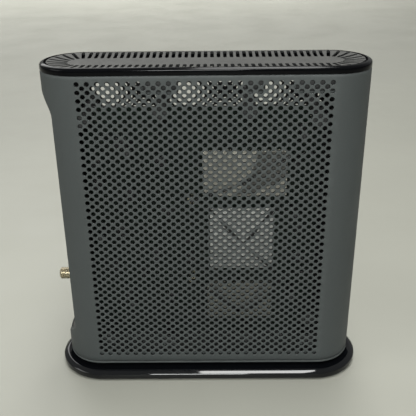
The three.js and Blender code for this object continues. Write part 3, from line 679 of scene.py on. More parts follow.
def end_angle(end, z, depth):
    """How far round its end a shell reaches, measured from its flat side."""
    radius = END_RADIUS - depth
    if end < 0:
        reach = rear_edge(z) - HALF_STRAIGHT
        return min(math.asin(min(1, reach / radius)), math.acos(SEAM / radius))
    beside_lens = LENS_LOW.z - LENS_GAP < z < LENS_HIGH.z + LENS_GAP
    gap = LENS_HIGH.y + LENS_GAP if beside_lens else SEAM
    return math.acos(gap / radius)


EDGE_REACH = 0.8 * MM  # how far the rounding of the top and bottom edges reaches
EDGE_PULL = 0.65 * MM


def edge_round(z):
    """How far the shell's face pulls in at its top and bottom edges."""
    away = min(SHELL_HIGH.z - z, z - SHELL_LOW.z)
    if away >= EDGE_REACH:
        return 0.0
    share = 1 - away / EDGE_REACH
    return EDGE_PULL * share * share


SHADE_BLACK = 1  # material index of the black faces that paint the shade inside the casing and down the walls of holes and slots
KEY_SCALE = 1e7  # places that round to the same key share a vertex


class SideShell:
    """The skin of one perforated shell: an outer and an inner sheet, and walls where they end."""

    def __init__(self, side):
        self.side = side
        self.mesh = bmesh.new()
        self.outer = {}
        self.inner = {}

    def vertex(self, sheet, x, z, depth, end_share=None):
        """A point by its place round the outline; end_share counts from the pattern to the shell's end."""
        key = (round(x * KEY_SCALE), round(z * KEY_SCALE), round(depth * KEY_SCALE), end_share)
        if key not in sheet:
            x += self.side * VENT_SHIFT
            angle = max(0.0, abs(x) - HALF_STRAIGHT) / END_RADIUS
            if end_share:
                angle = mix(angle, end_angle(x, z, depth), end_share)
            radius = END_RADIUS - depth
            flat = min(abs(x), HALF_STRAIGHT)
            place_x = math.copysign(flat + radius * math.sin(angle), x)
            place = (place_x, self.side * radius * math.cos(angle), z)
            sheet[key] = self.mesh.verts.new(place)
        return sheet[key]

    def both(self, stations):
        """One face on each sheet, from (x, z) or (x, z, end share) stations."""
        self.mesh.faces.new([self.vertex(self.outer, s[0], s[1], edge_round(s[1]), *s[2:]) for s in stations])
        back = self.mesh.faces.new([self.vertex(self.inner, s[0], s[1], WALL, *s[2:]) for s in stations])
        # The inner sheet takes the black that paints the shade inside the casing.
        back.material_index = SHADE_BLACK

    def cell(self, x, z, blind):
        """The diamond of sheet round one hole."""
        corners = [(x + VENT_PITCH / 2, z), (x, z + VENT_ROW_PITCH)]
        corners += [(x - VENT_PITCH / 2, z), (x, z - VENT_ROW_PITCH)]
        rings = [(VENT_RADIUS + VENT_EDGE, 0), (VENT_RADIUS, VENT_EDGE)]
        rings.append((VENT_RADIUS - 0.1 * MM, DIMPLE_DEPTH) if blind else (VENT_RADIUS, WALL))
        made = []
        for radius, depth in rings:
            sheet = self.outer if depth < WALL else self.inner
            ring = []
            for i in range(VENT_SIDES):
                angle = 2 * math.pi * i / VENT_SIDES
                at_x, at_z = x + radius * math.cos(angle), z + radius * math.sin(angle)
                ring.append(self.vertex(sheet, at_x, at_z, depth))
            made.append(ring)
        join_ring(self.mesh, made[0], made[1])
        # Hole walls take the black that paints the shade down each hole.
        for wall in join_ring(self.mesh, made[1], made[2]):
            wall.material_index = SHADE_BLACK
        self.fan(self.outer, corners, made[0], 0)
        if blind:
            self.mesh.faces.new(made[2])
            back = self.mesh.faces.new([self.vertex(self.inner, cx, cz, WALL) for cx, cz in corners])
            back.material_index = SHADE_BLACK
        else:
            self.fan(self.inner, corners, made[2], WALL)

    def fan(self, sheet, corners, ring, depth):
        """Faces between a diamond and the ring of points round its hole."""
        quarter = VENT_SIDES // 4
        for i in range(4):
            here = self.vertex(sheet, *corners[i], depth)
            ahead = self.vertex(sheet, *corners[(i + 1) % 4], depth)
            points = [ring[(i * quarter + k) % VENT_SIDES] for k in range(quarter + 1)]
            middle = quarter // 2
            faces = [(here, points[k + 1], points[k]) for k in range(middle)]
            faces.append((here, ahead, points[middle + 1], points[middle]))
            faces += [(ahead, points[k + 1], points[k]) for k in range(middle + 1, quarter)]
            for corners_of_face in faces:
                face = self.mesh.faces.new(corners_of_face)
                # Faces on the inner sheet take the black that paints the shade inside the casing.
                face.material_index = SHADE_BLACK if depth else 0

    def close_edges(self):
        """Walls between the two sheets along every open border."""
        partner = {}
        for key, vert in self.outer.items():
            inner_key = (key[0], key[1], round(WALL * KEY_SCALE), key[3])
            if inner_key in self.inner:
                partner[vert] = self.inner[inner_key]
        for edge in [e for e in self.mesh.edges if len(e.link_faces) == 1]:
            a, b = edge.verts
            if a in partner and b in partner:
                self.mesh.faces.new((a, b, partner[b], partner[a]))


def is_blind(x, z):
    """Whether something stands behind the wall at a hole."""
    for places, radius in ((POSTS, POST_RADIUS), (STANDOFFS, STANDOFF_RADIUS)):
        for column, row in places:
            if math.hypot(vent_x(column) - x, vent_z(row) - z) < radius:
                return True
    in_height = CATCH_LOW < z < CATCH_HIGH
    return in_height and any(abs(x - middle) < width / 2 for middle, width in CATCHES)


def fill_pattern(shell):
    """Every hole of the pattern, with the odd rows half a column over and one hole shorter."""
    for row in range(VENT_ROWS):
        shift = (row % 2) / 2
        for i in range(VENT_COLUMNS - row % 2):
            x, z = vent_x(i + shift), vent_z(row)
            shell.cell(x, z, is_blind(x, z))


RAMP_MARGIN = 6 * MM  # the border strips are divided more finely this far past each ramp
RAMP_PARTS = 5


def strip_heights(end, z, next_z):
    """Heights that a border strip is divided at, between two even rows."""
    if end > 0:
        below, above = LENS_LOW.z - LENS_GAP, LENS_HIGH.z + LENS_GAP
        cuts = [below - LENS_STEP, below + LENS_STEP, above - LENS_STEP, above + LENS_STEP]
        return [c for c in cuts if z < c < next_z]
    on_upper_ramp = z > RECESS_TOP - RECESS_UPPER_RAMP - RAMP_MARGIN
    on_lower_ramp = next_z < RECESS_BOTTOM + RECESS_LOWER_RAMP + RAMP_MARGIN
    parts = RAMP_PARTS if on_upper_ramp or on_lower_ramp else 1
    return [mix(z, next_z, k / parts) for k in range(1, parts)]


EDGE_X = VENT_COLUMNS * VENT_PITCH / 2  # where the pattern's border strips end
LAST_X = vent_x(VENT_COLUMNS - 1)
PATTERN_TOP = VENT_TOP + VENT_ROW_PITCH
PATTERN_BOTTOM = vent_z(VENT_ROWS - 1) - VENT_ROW_PITCH


def fill_border(shell):
    """The plain sheet round the pattern, out to the shell's edges and round its ends."""
    even = [vent_z(row) for row in range(VENT_ROWS - 1, -1, -2)]
    lips = [0.0, 0.15 * MM, 0.4 * MM, EDGE_REACH]
    below = [SHELL_LOW.z + lip for lip in lips] + [PATTERN_BOTTOM]
    above = [PATTERN_TOP] + [SHELL_HIGH.z - lip for lip in reversed(lips)]
    columns = [-EDGE_X] + [vent_x(c) for c in range(VENT_COLUMNS)] + [EDGE_X]
    for heights in (below, above):
        for z, next_z in zip(heights, heights[1:]):
            for x, next_x in zip(columns, columns[1:]):
                shell.both([(x, z), (next_x, z), (next_x, next_z), (x, next_z)])
    for tip, base in ((PATTERN_TOP, even[-1]), (PATTERN_BOTTOM, even[0])):
        for x, next_x in zip(columns[1:], columns[2:-1]):
            shell.both([(x, tip), ((x + next_x) / 2, base), (next_x, tip)])
        for end in (-1, 1):
            shell.both([(end * EDGE_X, base), (end * EDGE_X, tip), (end * LAST_X, tip)])
    for end in (-1, 1):
        between = fill_strip(shell, end, even)
        wrap_end(shell, end * EDGE_X, below + between + above)


def fill_strip(shell, end, even):
    """The half diamonds down one end of the pattern. Gives back the heights that they meet at."""
    heights = []
    for z, next_z in zip(even, even[1:]):
        cuts = strip_heights(end, z, next_z)
        heights += [z] + cuts
        line = [z, *cuts, next_z]
        point = (end * LAST_X, (z + next_z) / 2)
        for low, high in zip(line, line[1:]):
            shell.both([(end * EDGE_X, low), (end * EDGE_X, high), point])
    return heights + [even[-1]]


def wrap_end(shell, x, heights, parts=12):
    """The plain sheet from the pattern's border round one end of the shell."""
    shares = [None] + [k / parts for k in range(1, parts + 1)]
    for z, next_z in zip(heights, heights[1:]):
        for share, next_share in zip(shares, shares[1:]):
            shell.both([(x, z, share), (x, z, next_share), (x, next_z, next_share), (x, next_z, share)])


ROOT = 0.5 * MM  # how far posts and catches start inside the wall


def screw_hole(radius, top, depth):
    """Profile of a blind hole in the end of a post."""
    return [(radius, top), (radius, top - depth), (0, top - depth)]


def shell_posts(mesh, side):
    """Posts that meet in the middle, and on the near shell the standoffs that carry the board."""
    wall_y = side * (INNER_FACE + ROOT)
    inward = (0, -side, 0)
    r = POST_RADIUS
    length = INNER_FACE + ROOT - SEAM
    profile = [(r + 0.6 * MM, 0), (r, 1.4 * MM), (r - 0.1 * MM, length - 0.4 * MM), (r - 0.5 * MM, length)]
    profile += screw_hole(1.4 * MM, length, 9 * MM)
    for column, row in POSTS:
        lathe(mesh, (vent_x(column), wall_y, vent_z(row)), inward, profile, 20)
    if side > 0:
        return
    r = STANDOFF_RADIUS
    length = wall_y * side + BOARD_LOW.y - 0.3 * MM
    profile = [(r + 0.5 * MM, 0), (r, 1.2 * MM), (r, length - 0.3 * MM), (r - 0.3 * MM, length)]
    profile += screw_hole(1.5 * MM, length, 6 * MM)
    for column, row in STANDOFFS:
        lathe(mesh, (vent_x(column), wall_y, vent_z(row)), inward, profile, 16)


def shell_catches(mesh, side):
    """Flat catches behind the top edge, for the rim to snap on."""
    near, far = sorted((side * (INNER_FACE + ROOT), side * (INNER_FACE - CATCH_THICKNESS)))
    for middle, width in CATCHES:
        low = (middle - width / 2, near, CATCH_LOW)
        block(mesh, low, (middle + width / 2, far, CATCH_HIGH), 0.3 * MM)


def make_side_shell(name, side, materials):
    """One perforated half of the casing, with its posts and catches, its inside and hole walls black to paint
    the shade in them.
    """
    shell = SideShell(side)
    fill_pattern(shell)
    fill_border(shell)
    shell.close_edges()
    skin_faces = len(shell.mesh.faces)
    shell_posts(shell.mesh, side)
    shell_catches(shell.mesh, side)
    # Posts and catches take the black that paints the shade inside the casing.
    for face in list(shell.mesh.faces)[skin_faces:]:
        face.material_index = SHADE_BLACK
    piece = finish_piece(name + "_skin", shell.mesh, materials["casing"], [name])
    piece.data.materials.append(materials["inside"])


# ---- Rim, grille, bottom cover and plinth --------------------------------------------------------

SKIRT_OUTER = 2.3 * MM  # insets of the skirts that the rim and the bottom cover have inside the shells
SKIRT_INNER = 4.4 * MM
RIM_SHOULDER = (3 * MM, 2.1 * MM)  # width and height
LEDGE_DROP = 2.2 * MM  # from the rim's top to the ledge that carries the grille
SHOULDER_STEPS = 8


def make_rim(material):
    """Gloss band with a rolled shoulder, a ledge for the grille and a skirt inside the shells."""
    width, height = RIM_SHOULDER
    low = SHELL_HIGH.z + 0.3 * MM
    band = RIM_HIGH.z - height
    ledge = RIM_HIGH.z - LEDGE_DROP
    roll = [(0.25 * MM, low), (0.06 * MM, low + 0.08 * MM), (0, low + 0.25 * MM), (0, band - 0.4 * MM)]
    for i in range(1, SHOULDER_STEPS + 1):
        angle = math.radians(90 * i / SHOULDER_STEPS)
        roll.append((width * (1 - math.cos(angle)), band + height * math.sin(angle)))
    lip = width + 0.1 * MM
    inner = [(lip, RIM_HIGH.z - 0.1 * MM), (lip, ledge), (SKIRT_INNER, ledge)]
    skirt = [(SKIRT_INNER, RIM_LOW.z), (SKIRT_OUTER, RIM_LOW.z), (SKIRT_OUTER, low)]
    mesh = bmesh.new()
    sweep(mesh, HALF_STRAIGHT, END_RADIUS, roll + inner + skirt, steps=40)
    finish_piece("rim_band", mesh, material, ["top_rim_ring"])


SLOT_PITCH = 4.61 * MM
SLOTS_PER_SIDE = 37
SLOTS_PER_END = 10
SLOT_WIDTH = 2.6 * MM
SLOT_INNER = 10.5 * MM  # from the grille's middle line
SLOT_OUTER = 24.7 * MM
DISH = 1.4 * MM
DISH_FLOOR = 8.2 * MM  # half the width of the dish's flat floor
GRILLE_THICKNESS = 1.6 * MM


def dish_drop(reach):
    """How far the grille's top lies below its edge, at a distance from its middle line."""
    edge = GRILLE_HIGH.y
    share = min(1, max(0, (edge - reach) / (edge - DISH_FLOOR)))
    return DISH * math.sin(share * math.pi / 2)


class Grille:
    """A dished plate made of cells, each with one slot, on the two sides and round the two ends."""

    def __init__(self):
        self.mesh = bmesh.new()

    def at(self, cell, offset, reach, under, angle=None):
        """A point from a cell's frame: offset across the cell, reach out from the middle line."""
        origin, turn = cell
        bearing = turn if angle is None else angle
        out = Vector((math.sin(bearing), math.cos(bearing), 0))
        across = Vector((math.cos(bearing), -math.sin(bearing), 0))
        drop = dish_drop(reach) + (GRILLE_THICKNESS if under else 0)
        place = origin + out * reach + across * offset
        place.z = GRILLE_HIGH.z - drop
        return self.mesh.verts.new(place)

    def side_point(self, cell, half, sign, reach, under):
        """A point on the border between two cells: straight cells are parallel, end cells are wedges."""
        if half is None:
            return self.at(cell, sign * SLOT_PITCH / 2, reach, under)
        return self.at(cell, 0, reach, under, cell[1] + sign * half)

    def cell(self, cell, half, bars=6):
        """One slot with the plate round it, on both faces of the plate, and the slot's walls."""
        width = SLOT_WIDTH / 2
        low, high = SLOT_INNER + width, SLOT_OUTER - width
        rungs = [mix(low, high, k / bars) for k in range(bars + 1)]
        loop = {}
        for under in (False, True):
            sides = {}
            for sign in (-1, 1):
                border = [self.side_point(cell, half, sign, r, under) for r in rungs]
                slot = [self.at(cell, sign * width, r, under) for r in rungs]
                sides[sign] = border, slot
                for k in range(bars):
                    self.mesh.faces.new((border[k], border[k + 1], slot[k + 1], slot[k]))
            inner_end = self.slot_end(cell, half, sides, (low, SLOT_INNER - 0.6 * MM, -1), under)
            outer_end = self.slot_end(cell, half, sides, (high, SLOT_OUTER + 0.4 * MM, 1), under)
            self.flange(cell, half, (inner_end, outer_end), under)
            loop[under] = sides[-1][1] + outer_end[0] + sides[1][1][::-1] + inner_end[0][::-1]
        join_ring(self.mesh, loop[False], loop[True])

    def slot_end(self, cell, half, sides, place, under):
        """Faces round one of a slot's round ends, out to a limit. Gives back its points and corners."""
        middle, limit, toward = place
        width = SLOT_WIDTH / 2
        tip = []
        for k in range(1, 6):
            angle = math.pi * k / 6
            reach = middle + toward * width * math.sin(angle)
            tip.append(self.at(cell, -width * math.cos(angle), reach, under))
        row = 0 if toward < 0 else -1
        line = [sides[-1][1][row], *tip, sides[1][1][row]]
        corner_a = self.side_point(cell, half, -1, limit, under)
        corner_b = self.side_point(cell, half, 1, limit, under)
        self.mesh.faces.new((sides[-1][0][row], corner_a, line[1], line[0]))
        self.mesh.faces.new((corner_a, line[2], line[1]))
        self.mesh.faces.new((corner_a, corner_b, line[4], line[3], line[2]))
        self.mesh.faces.new((corner_b, line[5], line[4]))
        self.mesh.faces.new((sides[1][0][row], corner_b, line[5], line[6]))
        return tip, corner_a, corner_b

    def flange(self, cell, half, ends, under):
        """The plain stretches inside and outside the slot, out to the edge and in to the middle line."""
        (_, inner_a, inner_b), (_, outer_a, outer_b) = ends
        edge = GRILLE_HIGH.y
        edge_a = self.side_point(cell, half, -1, edge, under)
        edge_b = self.side_point(cell, half, 1, edge, under)
        self.mesh.faces.new((outer_a, outer_b, edge_b, edge_a))
        for reach in (DISH_FLOOR, 5 * MM, 2 * MM):
            next_a = self.side_point(cell, half, -1, reach, under)
            next_b = self.side_point(cell, half, 1, reach, under)
            self.mesh.faces.new((inner_a, inner_b, next_b, next_a))
            inner_a, inner_b = next_a, next_b
        if half is None:
            middle_a = self.at(cell, -SLOT_PITCH / 2, 0, under)
            middle_b = self.at(cell, SLOT_PITCH / 2, 0, under)
            self.mesh.faces.new((inner_a, inner_b, middle_b, middle_a))
        else:
            self.mesh.faces.new((inner_a, inner_b, self.at(cell, 0, 0, under)))


def make_grille(materials):
    """Dished plate with a row of slots along each side and a fan of them round each end."""
    grille = Grille()
    first = -(SLOTS_PER_SIDE - 1) / 2 * SLOT_PITCH
    for i in range(SLOTS_PER_SIDE):
        for turn in (0, math.pi):
            grille.cell((Vector((first + i * SLOT_PITCH, 0, 0)), turn), None)
    end_x = SLOTS_PER_SIDE / 2 * SLOT_PITCH
    step = math.pi / SLOTS_PER_END
    for sign in (-1, 1):
        for i in range(SLOTS_PER_END):
            turn = sign * (i + 0.5) * step
            grille.cell((Vector((sign * end_x, 0, 0)), turn), step / 2)
    mesh = grille.mesh
    bmesh.ops.remove_doubles(mesh, verts=mesh.verts, dist=0.01 * MM)
    open_edges = [e for e in mesh.edges if len(e.link_faces) == 1]
    bmesh.ops.bridge_loops(mesh, edges=open_edges)
    piece = finish_piece("grille_plate", mesh, materials["grille"], ["top_vent_grille"], sharp=28)
    piece.data.materials.append(materials["inside"])
    # Steep walls of slots and edges take the black that paints the shade in them.
    for face in piece.data.polygons:
        face.material_index = SHADE_BLACK if abs(face.normal.z) < 0.5 else 0


PANEL_FOOT_STEP = 0.5 * MM
PANEL_FOOT_STEPS = 15


def make_panel_foot(material):
    """Carries the slope at the rear panel's lower end on down to the shells' wall."""
    inset, thickness = 0.65 * MM, 1.8 * MM
    radius = INNER_FACE - 0.3 * MM
    top = RECESS_BOTTOM + PANEL_END_MARGIN + 0.3 * MM
    rings = []
    for step in range(PANEL_FOOT_STEPS):
        z = top - step * PANEL_FOOT_STEP
        face = rear_edge(z) - inset
        ring = []
        for x, side in ((face, -1), (face, 1), (face - thickness, 1), (face - thickness, -1)):
            half = math.sqrt(max(0, radius ** 2 - (x - HALF_STRAIGHT) ** 2))
            ring.append(Vector((-x, side * half, z)))
        if ring[1].y > 0.3 * MM:
            rings.append(ring)
    mesh = bmesh.new()
    loft(mesh, rings)
    finish_piece("panel_foot", mesh, material)


def make_cover(material):
    """Tray under the shells: an edge band, a step inside them and a closed floor."""
    low, top = COVER_LOW.z, COVER_HIGH.z
    band = SHELL_LOW.z - 1.1 * MM
    profile = [(SKIRT_INNER, low + 2.2 * MM), (SKIRT_INNER, top), (SKIRT_OUTER, top), (SKIRT_OUTER, band)]
    profile += [(0.35 * MM, band), (0.1 * MM, band - 0.1 * MM), (0, band - 0.3 * MM)]
    profile += arc(0.9 * MM, low + 0.9 * MM, 0.9 * MM, 0, -90)
    mesh = bmesh.new()
    sweep(mesh, HALF_STRAIGHT, END_RADIUS, profile, closed=False, steps=40)
    finish_piece("cover_tray", mesh, material, ["bottom_cover"])


PLINTH_THICKNESS = 6.5 * MM
NECK_INSET = 9 * MM  # from the casing's outline


def make_plinth(material):
    """Gloss slab with a rolled edge, a shallow top and a neck that carries the casing."""
    low, top = PLINTH_LOW.z, PLINTH_LOW.z + PLINTH_THICKNESS
    neck = PLINTH_RADIUS - END_RADIUS + NECK_INSET
    under = [(7 * MM, low + 0.8 * MM), (6 * MM, low), (1.1 * MM, low)]
    under += arc(0.7 * MM, low + 0.7 * MM, 0.7 * MM, -60, 0, 3)
    face = chained_arcs(0, top - 2.75 * MM, [(1.5 * MM, 3, 50), (8 * MM, 50, 76), (1.5 * MM, 76, 88)], 7)
    edge_inset, edge_top = face[-1]
    floor = edge_top - 0.25 * MM
    deck = [(edge_inset + 0.5 * MM, floor), (neck - 1.2 * MM, floor)]
    rise = [(neck - 0.4 * MM, top), (neck, top + 0.5 * MM), (neck, PLINTH_HIGH.z)]
    mesh = bmesh.new()
    sweep(mesh, PLINTH_STRAIGHT, PLINTH_RADIUS, under + face + deck + rise, closed=False, steps=48)
    finish_piece("plinth_slab", mesh, material, ["base_plinth"])


def make_feet(material):
    """Stepped rubber feet with a ring pressed in their soles."""
    for node in [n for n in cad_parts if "foot" in n]:
        low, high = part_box(node)
        middle = (low + high) / 2
        radius = (high.x - low.x) / 2
        profile = [(0, high.z), (radius, high.z), (radius, 0.5 * MM), (radius - 0.4 * MM, 0)]
        profile += [(radius - 1.6 * MM, 0), (radius - 1.9 * MM, 0.3 * MM), (radius - 2.4 * MM, 0.3 * MM)]
        profile += [(radius - 2.7 * MM, 0), (0, 0)]
        mesh = bmesh.new()
        lathe(mesh, (middle.x, middle.y, 0), (0, 0, 1), profile, 32)
        finish_piece(node + "_pad", mesh, material, [node])


# ---- Rear connectors and buttons -----------------------------------------------------------------

COAX_RADIUS = 4.7 * MM
COAX_BORE = 3.6 * MM
COAX_BORE_DEPTH = 9 * MM
THREAD_PITCH = 0.79 * MM
THREAD_DEPTH = 0.3 * MM
THREAD_START = 0.9 * MM  # from the barrel's tip
NUT_HALF_FLAT = 6.2 * MM
NUT_HOLE = 4.85 * MM
NUT_CHAMFER = 0.35 * MM
ALONG = (1, 0, 0)  # from the barrel's tip into the casing


def barrel_profile(tip, nut_start, nut_end):
    """The barrel's bore, chamfered tip and thread, and its closed end behind the nut."""
    root = COAX_RADIUS - THREAD_DEPTH
    profile = [(COAX_BORE, tip + COAX_BORE_DEPTH), (COAX_BORE, tip + 0.3 * MM), (COAX_BORE + 0.25 * MM, tip)]
    profile += [(COAX_RADIUS - 1.0 * MM, tip), (COAX_RADIUS - 0.35 * MM, tip + 0.55 * MM)]
    turns = int((nut_start - tip - THREAD_START) / THREAD_PITCH)
    for i in range(turns):
        at = tip + THREAD_START + i * THREAD_PITCH
        profile += [(root, at), (COAX_RADIUS, at + 0.3 * THREAD_PITCH)]
        profile += [(COAX_RADIUS, at + 0.5 * THREAD_PITCH), (root, at + 0.8 * THREAD_PITCH)]
    back = nut_end + 1.2 * MM
    return profile + [(COAX_RADIUS, nut_start), (COAX_RADIUS, back), (0, back), (0, tip + COAX_BORE_DEPTH)]


def make_coax(materials):
    """Threaded barrel with a chamfered tip, its insulator and its hex nut."""
    low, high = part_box("coax_connector")
    nut_low, nut_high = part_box("coax_nut")
    centre = (0, (nut_low.y + nut_high.y) / 2, (nut_low.z + nut_high.z) / 2)
    mesh = bmesh.new()
    lathe(mesh, centre, ALONG, barrel_profile(low.x, nut_low.x, nut_high.x), 40)
    body_low = Vector((nut_high.x + 4.3 * MM, low.y, low.z))
    shank = [(0, nut_high.x), (COAX_RADIUS, nut_high.x), (COAX_RADIUS, body_low.x), (0, body_low.x)]
    lathe(mesh, centre, ALONG, shank, 40)
    block(mesh, body_low, high, 0.5 * MM)
    finish_piece("coax_thread", mesh, materials["nickel"], ["coax_connector"])
    make_coax_nut(centre, nut_low.x, nut_high.x, materials["nickel"])
    make_coax_insulator(centre, materials)


def hex_ring(centre, x, limit, sides=48):
    """Outline of the nut at one place along it: a hexagon cut off at a radius."""
    ring = []
    for i in range(sides):
        angle = 2 * math.pi * i / sides
        off = (angle + math.pi / 6) % (math.pi / 3) - math.pi / 6
        radius = min(NUT_HALF_FLAT / math.cos(off), limit)
        y, z = centre[1] + radius * math.cos(angle), centre[2] + radius * math.sin(angle)
        ring.append(Vector((x, y, z)))
    return ring


def make_coax_nut(centre, start, end, material):
    """Hex nut with its corners turned off at both faces, and a round hole."""
    corner = NUT_HALF_FLAT / math.cos(math.pi / 6)
    stations = [(start, NUT_HALF_FLAT), (start + NUT_CHAMFER, corner), (end - NUT_CHAMFER, corner)]
    stations += [(end, NUT_HALF_FLAT), (end, NUT_HOLE), (start, NUT_HOLE)]
    mesh = bmesh.new()
    loft(mesh, [hex_ring(centre, x, limit) for x, limit in stations], closed=True)
    finish_piece("coax_hex_nut", mesh, material, ["coax_nut"], sharp=20)


def make_coax_insulator(centre, materials):
    """White core with a hole in it, and two sprung contacts inside the hole."""
    low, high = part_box("coax_insulator")
    outer, hole = COAX_BORE - 0.1 * MM, 0.7 * MM
    floor = low.x + 5 * MM
    profile = [(hole, floor), (hole, low.x + 0.4 * MM), (1.2 * MM, low.x), (outer, low.x)]
    profile += [(outer, high.x), (0, high.x), (0, floor)]
    mesh = bmesh.new()
    lathe(mesh, centre, ALONG, profile, 32)
    finish_piece("coax_insulator_core", mesh, materials["insulator"], ["coax_insulator"])
    wire, tip, foot = 0.22 * MM, low.x + 0.8 * MM, low.x + 4.8 * MM
    profile = [(0, tip), (wire, tip + 0.1 * MM), (wire, foot), (0, foot)]
    mesh = bmesh.new()
    for side in (-1, 1):
        lathe(mesh, (centre[0], centre[1] + side * 0.4 * MM, centre[2]), ALONG, profile, 10)
    finish_piece("coax_contact", mesh, materials["gold"])


def make_jack_contacts(material):
    """Sprung wires in the mouth of each network and telephone jack."""
    for node in sorted(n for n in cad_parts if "_jack_" in n):
        low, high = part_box(node)
        middle = (low.z + high.z) / 2
        count, spread = (8, 1.02 * MM) if "ethernet" in node else (4, 1.1 * MM)
        floor = (low.y + high.y) / 2 - 5 * MM
        back, front = low.x + 11.8 * MM, low.x + 3.4 * MM
        mesh = bmesh.new()
        for i in range(count):
            z = middle + (i - (count - 1) / 2) * spread
            route = [Vector((back, floor + 5.2 * MM, z)), Vector((front + 2 * MM, floor + 2.1 * MM, z))]
            route += [Vector((front, floor + 1.1 * MM, z)), Vector((front - 0.7 * MM, floor + 0.6 * MM, z))]
            tube(mesh, smooth_route(route, 4), 0.2 * MM, 6)
        finish_piece(node + "_contacts", mesh, material)


CAP_RADIUS = 4.6 * MM


def make_pair_button(material):
    """Round push button with a dished cap and a flange behind the panel, on its own body."""
    low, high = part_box("pair_button")
    centre = (0, (low.y + high.y) / 2, (low.z + high.z) / 2)
    profile = [(0, low.x + 0.35 * MM), (2.2 * MM, low.x + 0.28 * MM), (3.8 * MM, low.x + 0.05 * MM)]
    profile += [(4.2 * MM, low.x), (4.5 * MM, low.x + 0.15 * MM), (CAP_RADIUS, low.x + 0.45 * MM)]
    flange = PANEL_HIGH.x + 0.35 * MM
    flange_back = flange + 1.1 * MM
    wide = (high.z - low.z) / 2
    profile += [(CAP_RADIUS, flange), (wide, flange), (wide, flange_back), (1.5 * MM, flange_back)]
    profile += [(1.4 * MM, high.x), (0, high.x)]
    mesh = bmesh.new()
    lathe(mesh, centre, ALONG, profile, 36)
    finish_piece("pair_button_cap", mesh, material, ["pair_button"], "pair_button_body")


# ---- Board and its parts -------------------------------------------------------------------------


def make_shield(name, node, material):
    """Folded can under a lid that is a little wider than its walls."""
    low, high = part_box(node)
    lid = low.y + 0.9 * MM
    inset = 0.35 * MM
    wall_low = (low.x + inset, lid - 0.2 * MM, low.z + inset)
    mesh = bmesh.new()
    block(mesh, wall_low, (high.x - inset, high.y, high.z - inset), 0.25 * MM)
    block(mesh, low, (high.x, lid, high.z), 0.3 * MM)
    finish_piece(name, mesh, material, [node])


def make_spreader(material):
    """Plate over the main chip, with rounded edges, near white and matt to paint its bright reflection."""
    mesh = bmesh.new()
    block(mesh, *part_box("heat_spreader"), 0.35 * MM)
    finish_piece("spreader_plate", mesh, material, ["heat_spreader"])


SPRING_RADIUS = 1.1 * MM
SPRING_MIDDLE = Vector((1.5, 0, -4)) * MM  # where the wires cross, from the plate's middle


def make_spring(material):
    """Two crossed wires that hold the plate, with their ends bent down to the board."""
    low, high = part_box("spreader_clip")
    y = low.y + 0.4 * MM
    mesh = bmesh.new()
    for sign in (-1, 1):
        ends = []
        for end in (-1, 1):
            x = (low.x + SPRING_RADIUS) if end < 0 else (high.x - SPRING_RADIUS)
            z = (low.z + SPRING_RADIUS) if end * sign < 0 else (high.z - SPRING_RADIUS)
            ends.append((Vector((x, y, z)), Vector((x, high.y, z))))
        (start, start_foot), (stop, stop_foot) = ends
        middle = (start + stop) / 2 + SPRING_MIDDLE
        inner = [start_foot, mix(start_foot, start, 0.8), mix(start, middle, 0.04), mix(start, middle, 0.5)]
        outer = [mix(stop, middle, 0.5), mix(stop, middle, 0.04), mix(stop_foot, stop, 0.8), stop_foot]
        tube(mesh, smooth_route(inner + [middle] + outer, 5), SPRING_RADIUS * 0.95, 10)
    finish_piece("spreader_spring", mesh, material, ["spreader_clip"])


# Each dark tape that paints a shade band across a can: its name, its can, and its left edge, right edge and
# height as shares of the can's size.
SHADE_TAPES = [
    (
        "shade_tape_upper", "upper",
        [(0.4, 0.56, 0.02), (0.45, 0.7, 0.16), (0.55, 0.985, 0.4), (0.66, 0.985, 0.98)]
    ),
    ("shade_tape_left", "lower", [(0.42, 0.62, 0.15), (0.14, 0.34, 0.55), (0.02, 0.14, 0.98)]),
    ("shade_tape_right", "lower", [(0.42, 0.62, 0.15), (0.66, 0.84, 0.55), (0.86, 0.985, 0.98)]),
]
TAPE_TOP = -0.14 * MM  # from the can's lid
TAPE_UNDER = -0.02 * MM


def make_shade_tape(name, can, edges, material):
    """Thin flat dark tape laid on a can, which paints the shade band along its antenna lead."""
    low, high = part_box(can + "_shield_can")
    size = high - low
    rings = []
    for left, right, height in smooth_route([Vector(e) for e in edges], 6):
        z = low.z + height * size.z
        section = ((right, TAPE_TOP), (left, TAPE_TOP), (left, TAPE_UNDER), (right, TAPE_UNDER))
        rings.append([Vector((low.x + share * size.x, low.y + y, z)) for share, y in section])
    mesh = bmesh.new()
    loft(mesh, rings)
    finish_piece(name, mesh, material)


# Places on the board's near side, in millimetres along and up.
CHIP_PLACES = [(-62, 190), (-34, 176), (-58, 150), (-30, 136), (-66, 118)]
CHIP_PLACES += [(-40, 100), (-60, 62), (-30, 60), (70, 120), (70, 96)]
CAPACITOR_PLACES = [(-80, 176), (-80, 160), (-72, 92), (-50, 84), (-14, 112), (-14, 98), (66, 66), (66, 176)]
CAPACITOR_SIZES = ((3.1, 5.6), (4, 7.2))  # radius and height in millimetres
LOW_CAPACITOR = (2.6, 5.4)  # below the height that the taller ones start at
TALL_CAPACITORS_FROM = 80


def add_chip(mesh, draw, x, z, face):
    """A flat chip of a drawn size, lying on the board's face."""
    half_x, half_z = draw.uniform(3, 6) * MM, draw.uniform(3, 6) * MM
    tall = draw.uniform(1.0, 1.6) * MM
    block(mesh, (x - half_x, face - tall, z - half_z), (x + half_x, face, z + half_z), 0.15 * MM)


def add_capacitor(mesh, place, radius, tall):
    """A can with a groove near its foot and a rounded top."""
    profile = [(0, 0), (radius, 0), (radius, 0.8 * MM), (radius - 0.25 * MM, 1.1 * MM), (radius, 1.4 * MM)]
    profile += [(radius, tall - 0.4 * MM), (radius - 0.4 * MM, tall), (0, tall)]
    lathe(mesh, place, (0, -1, 0), profile, 24)


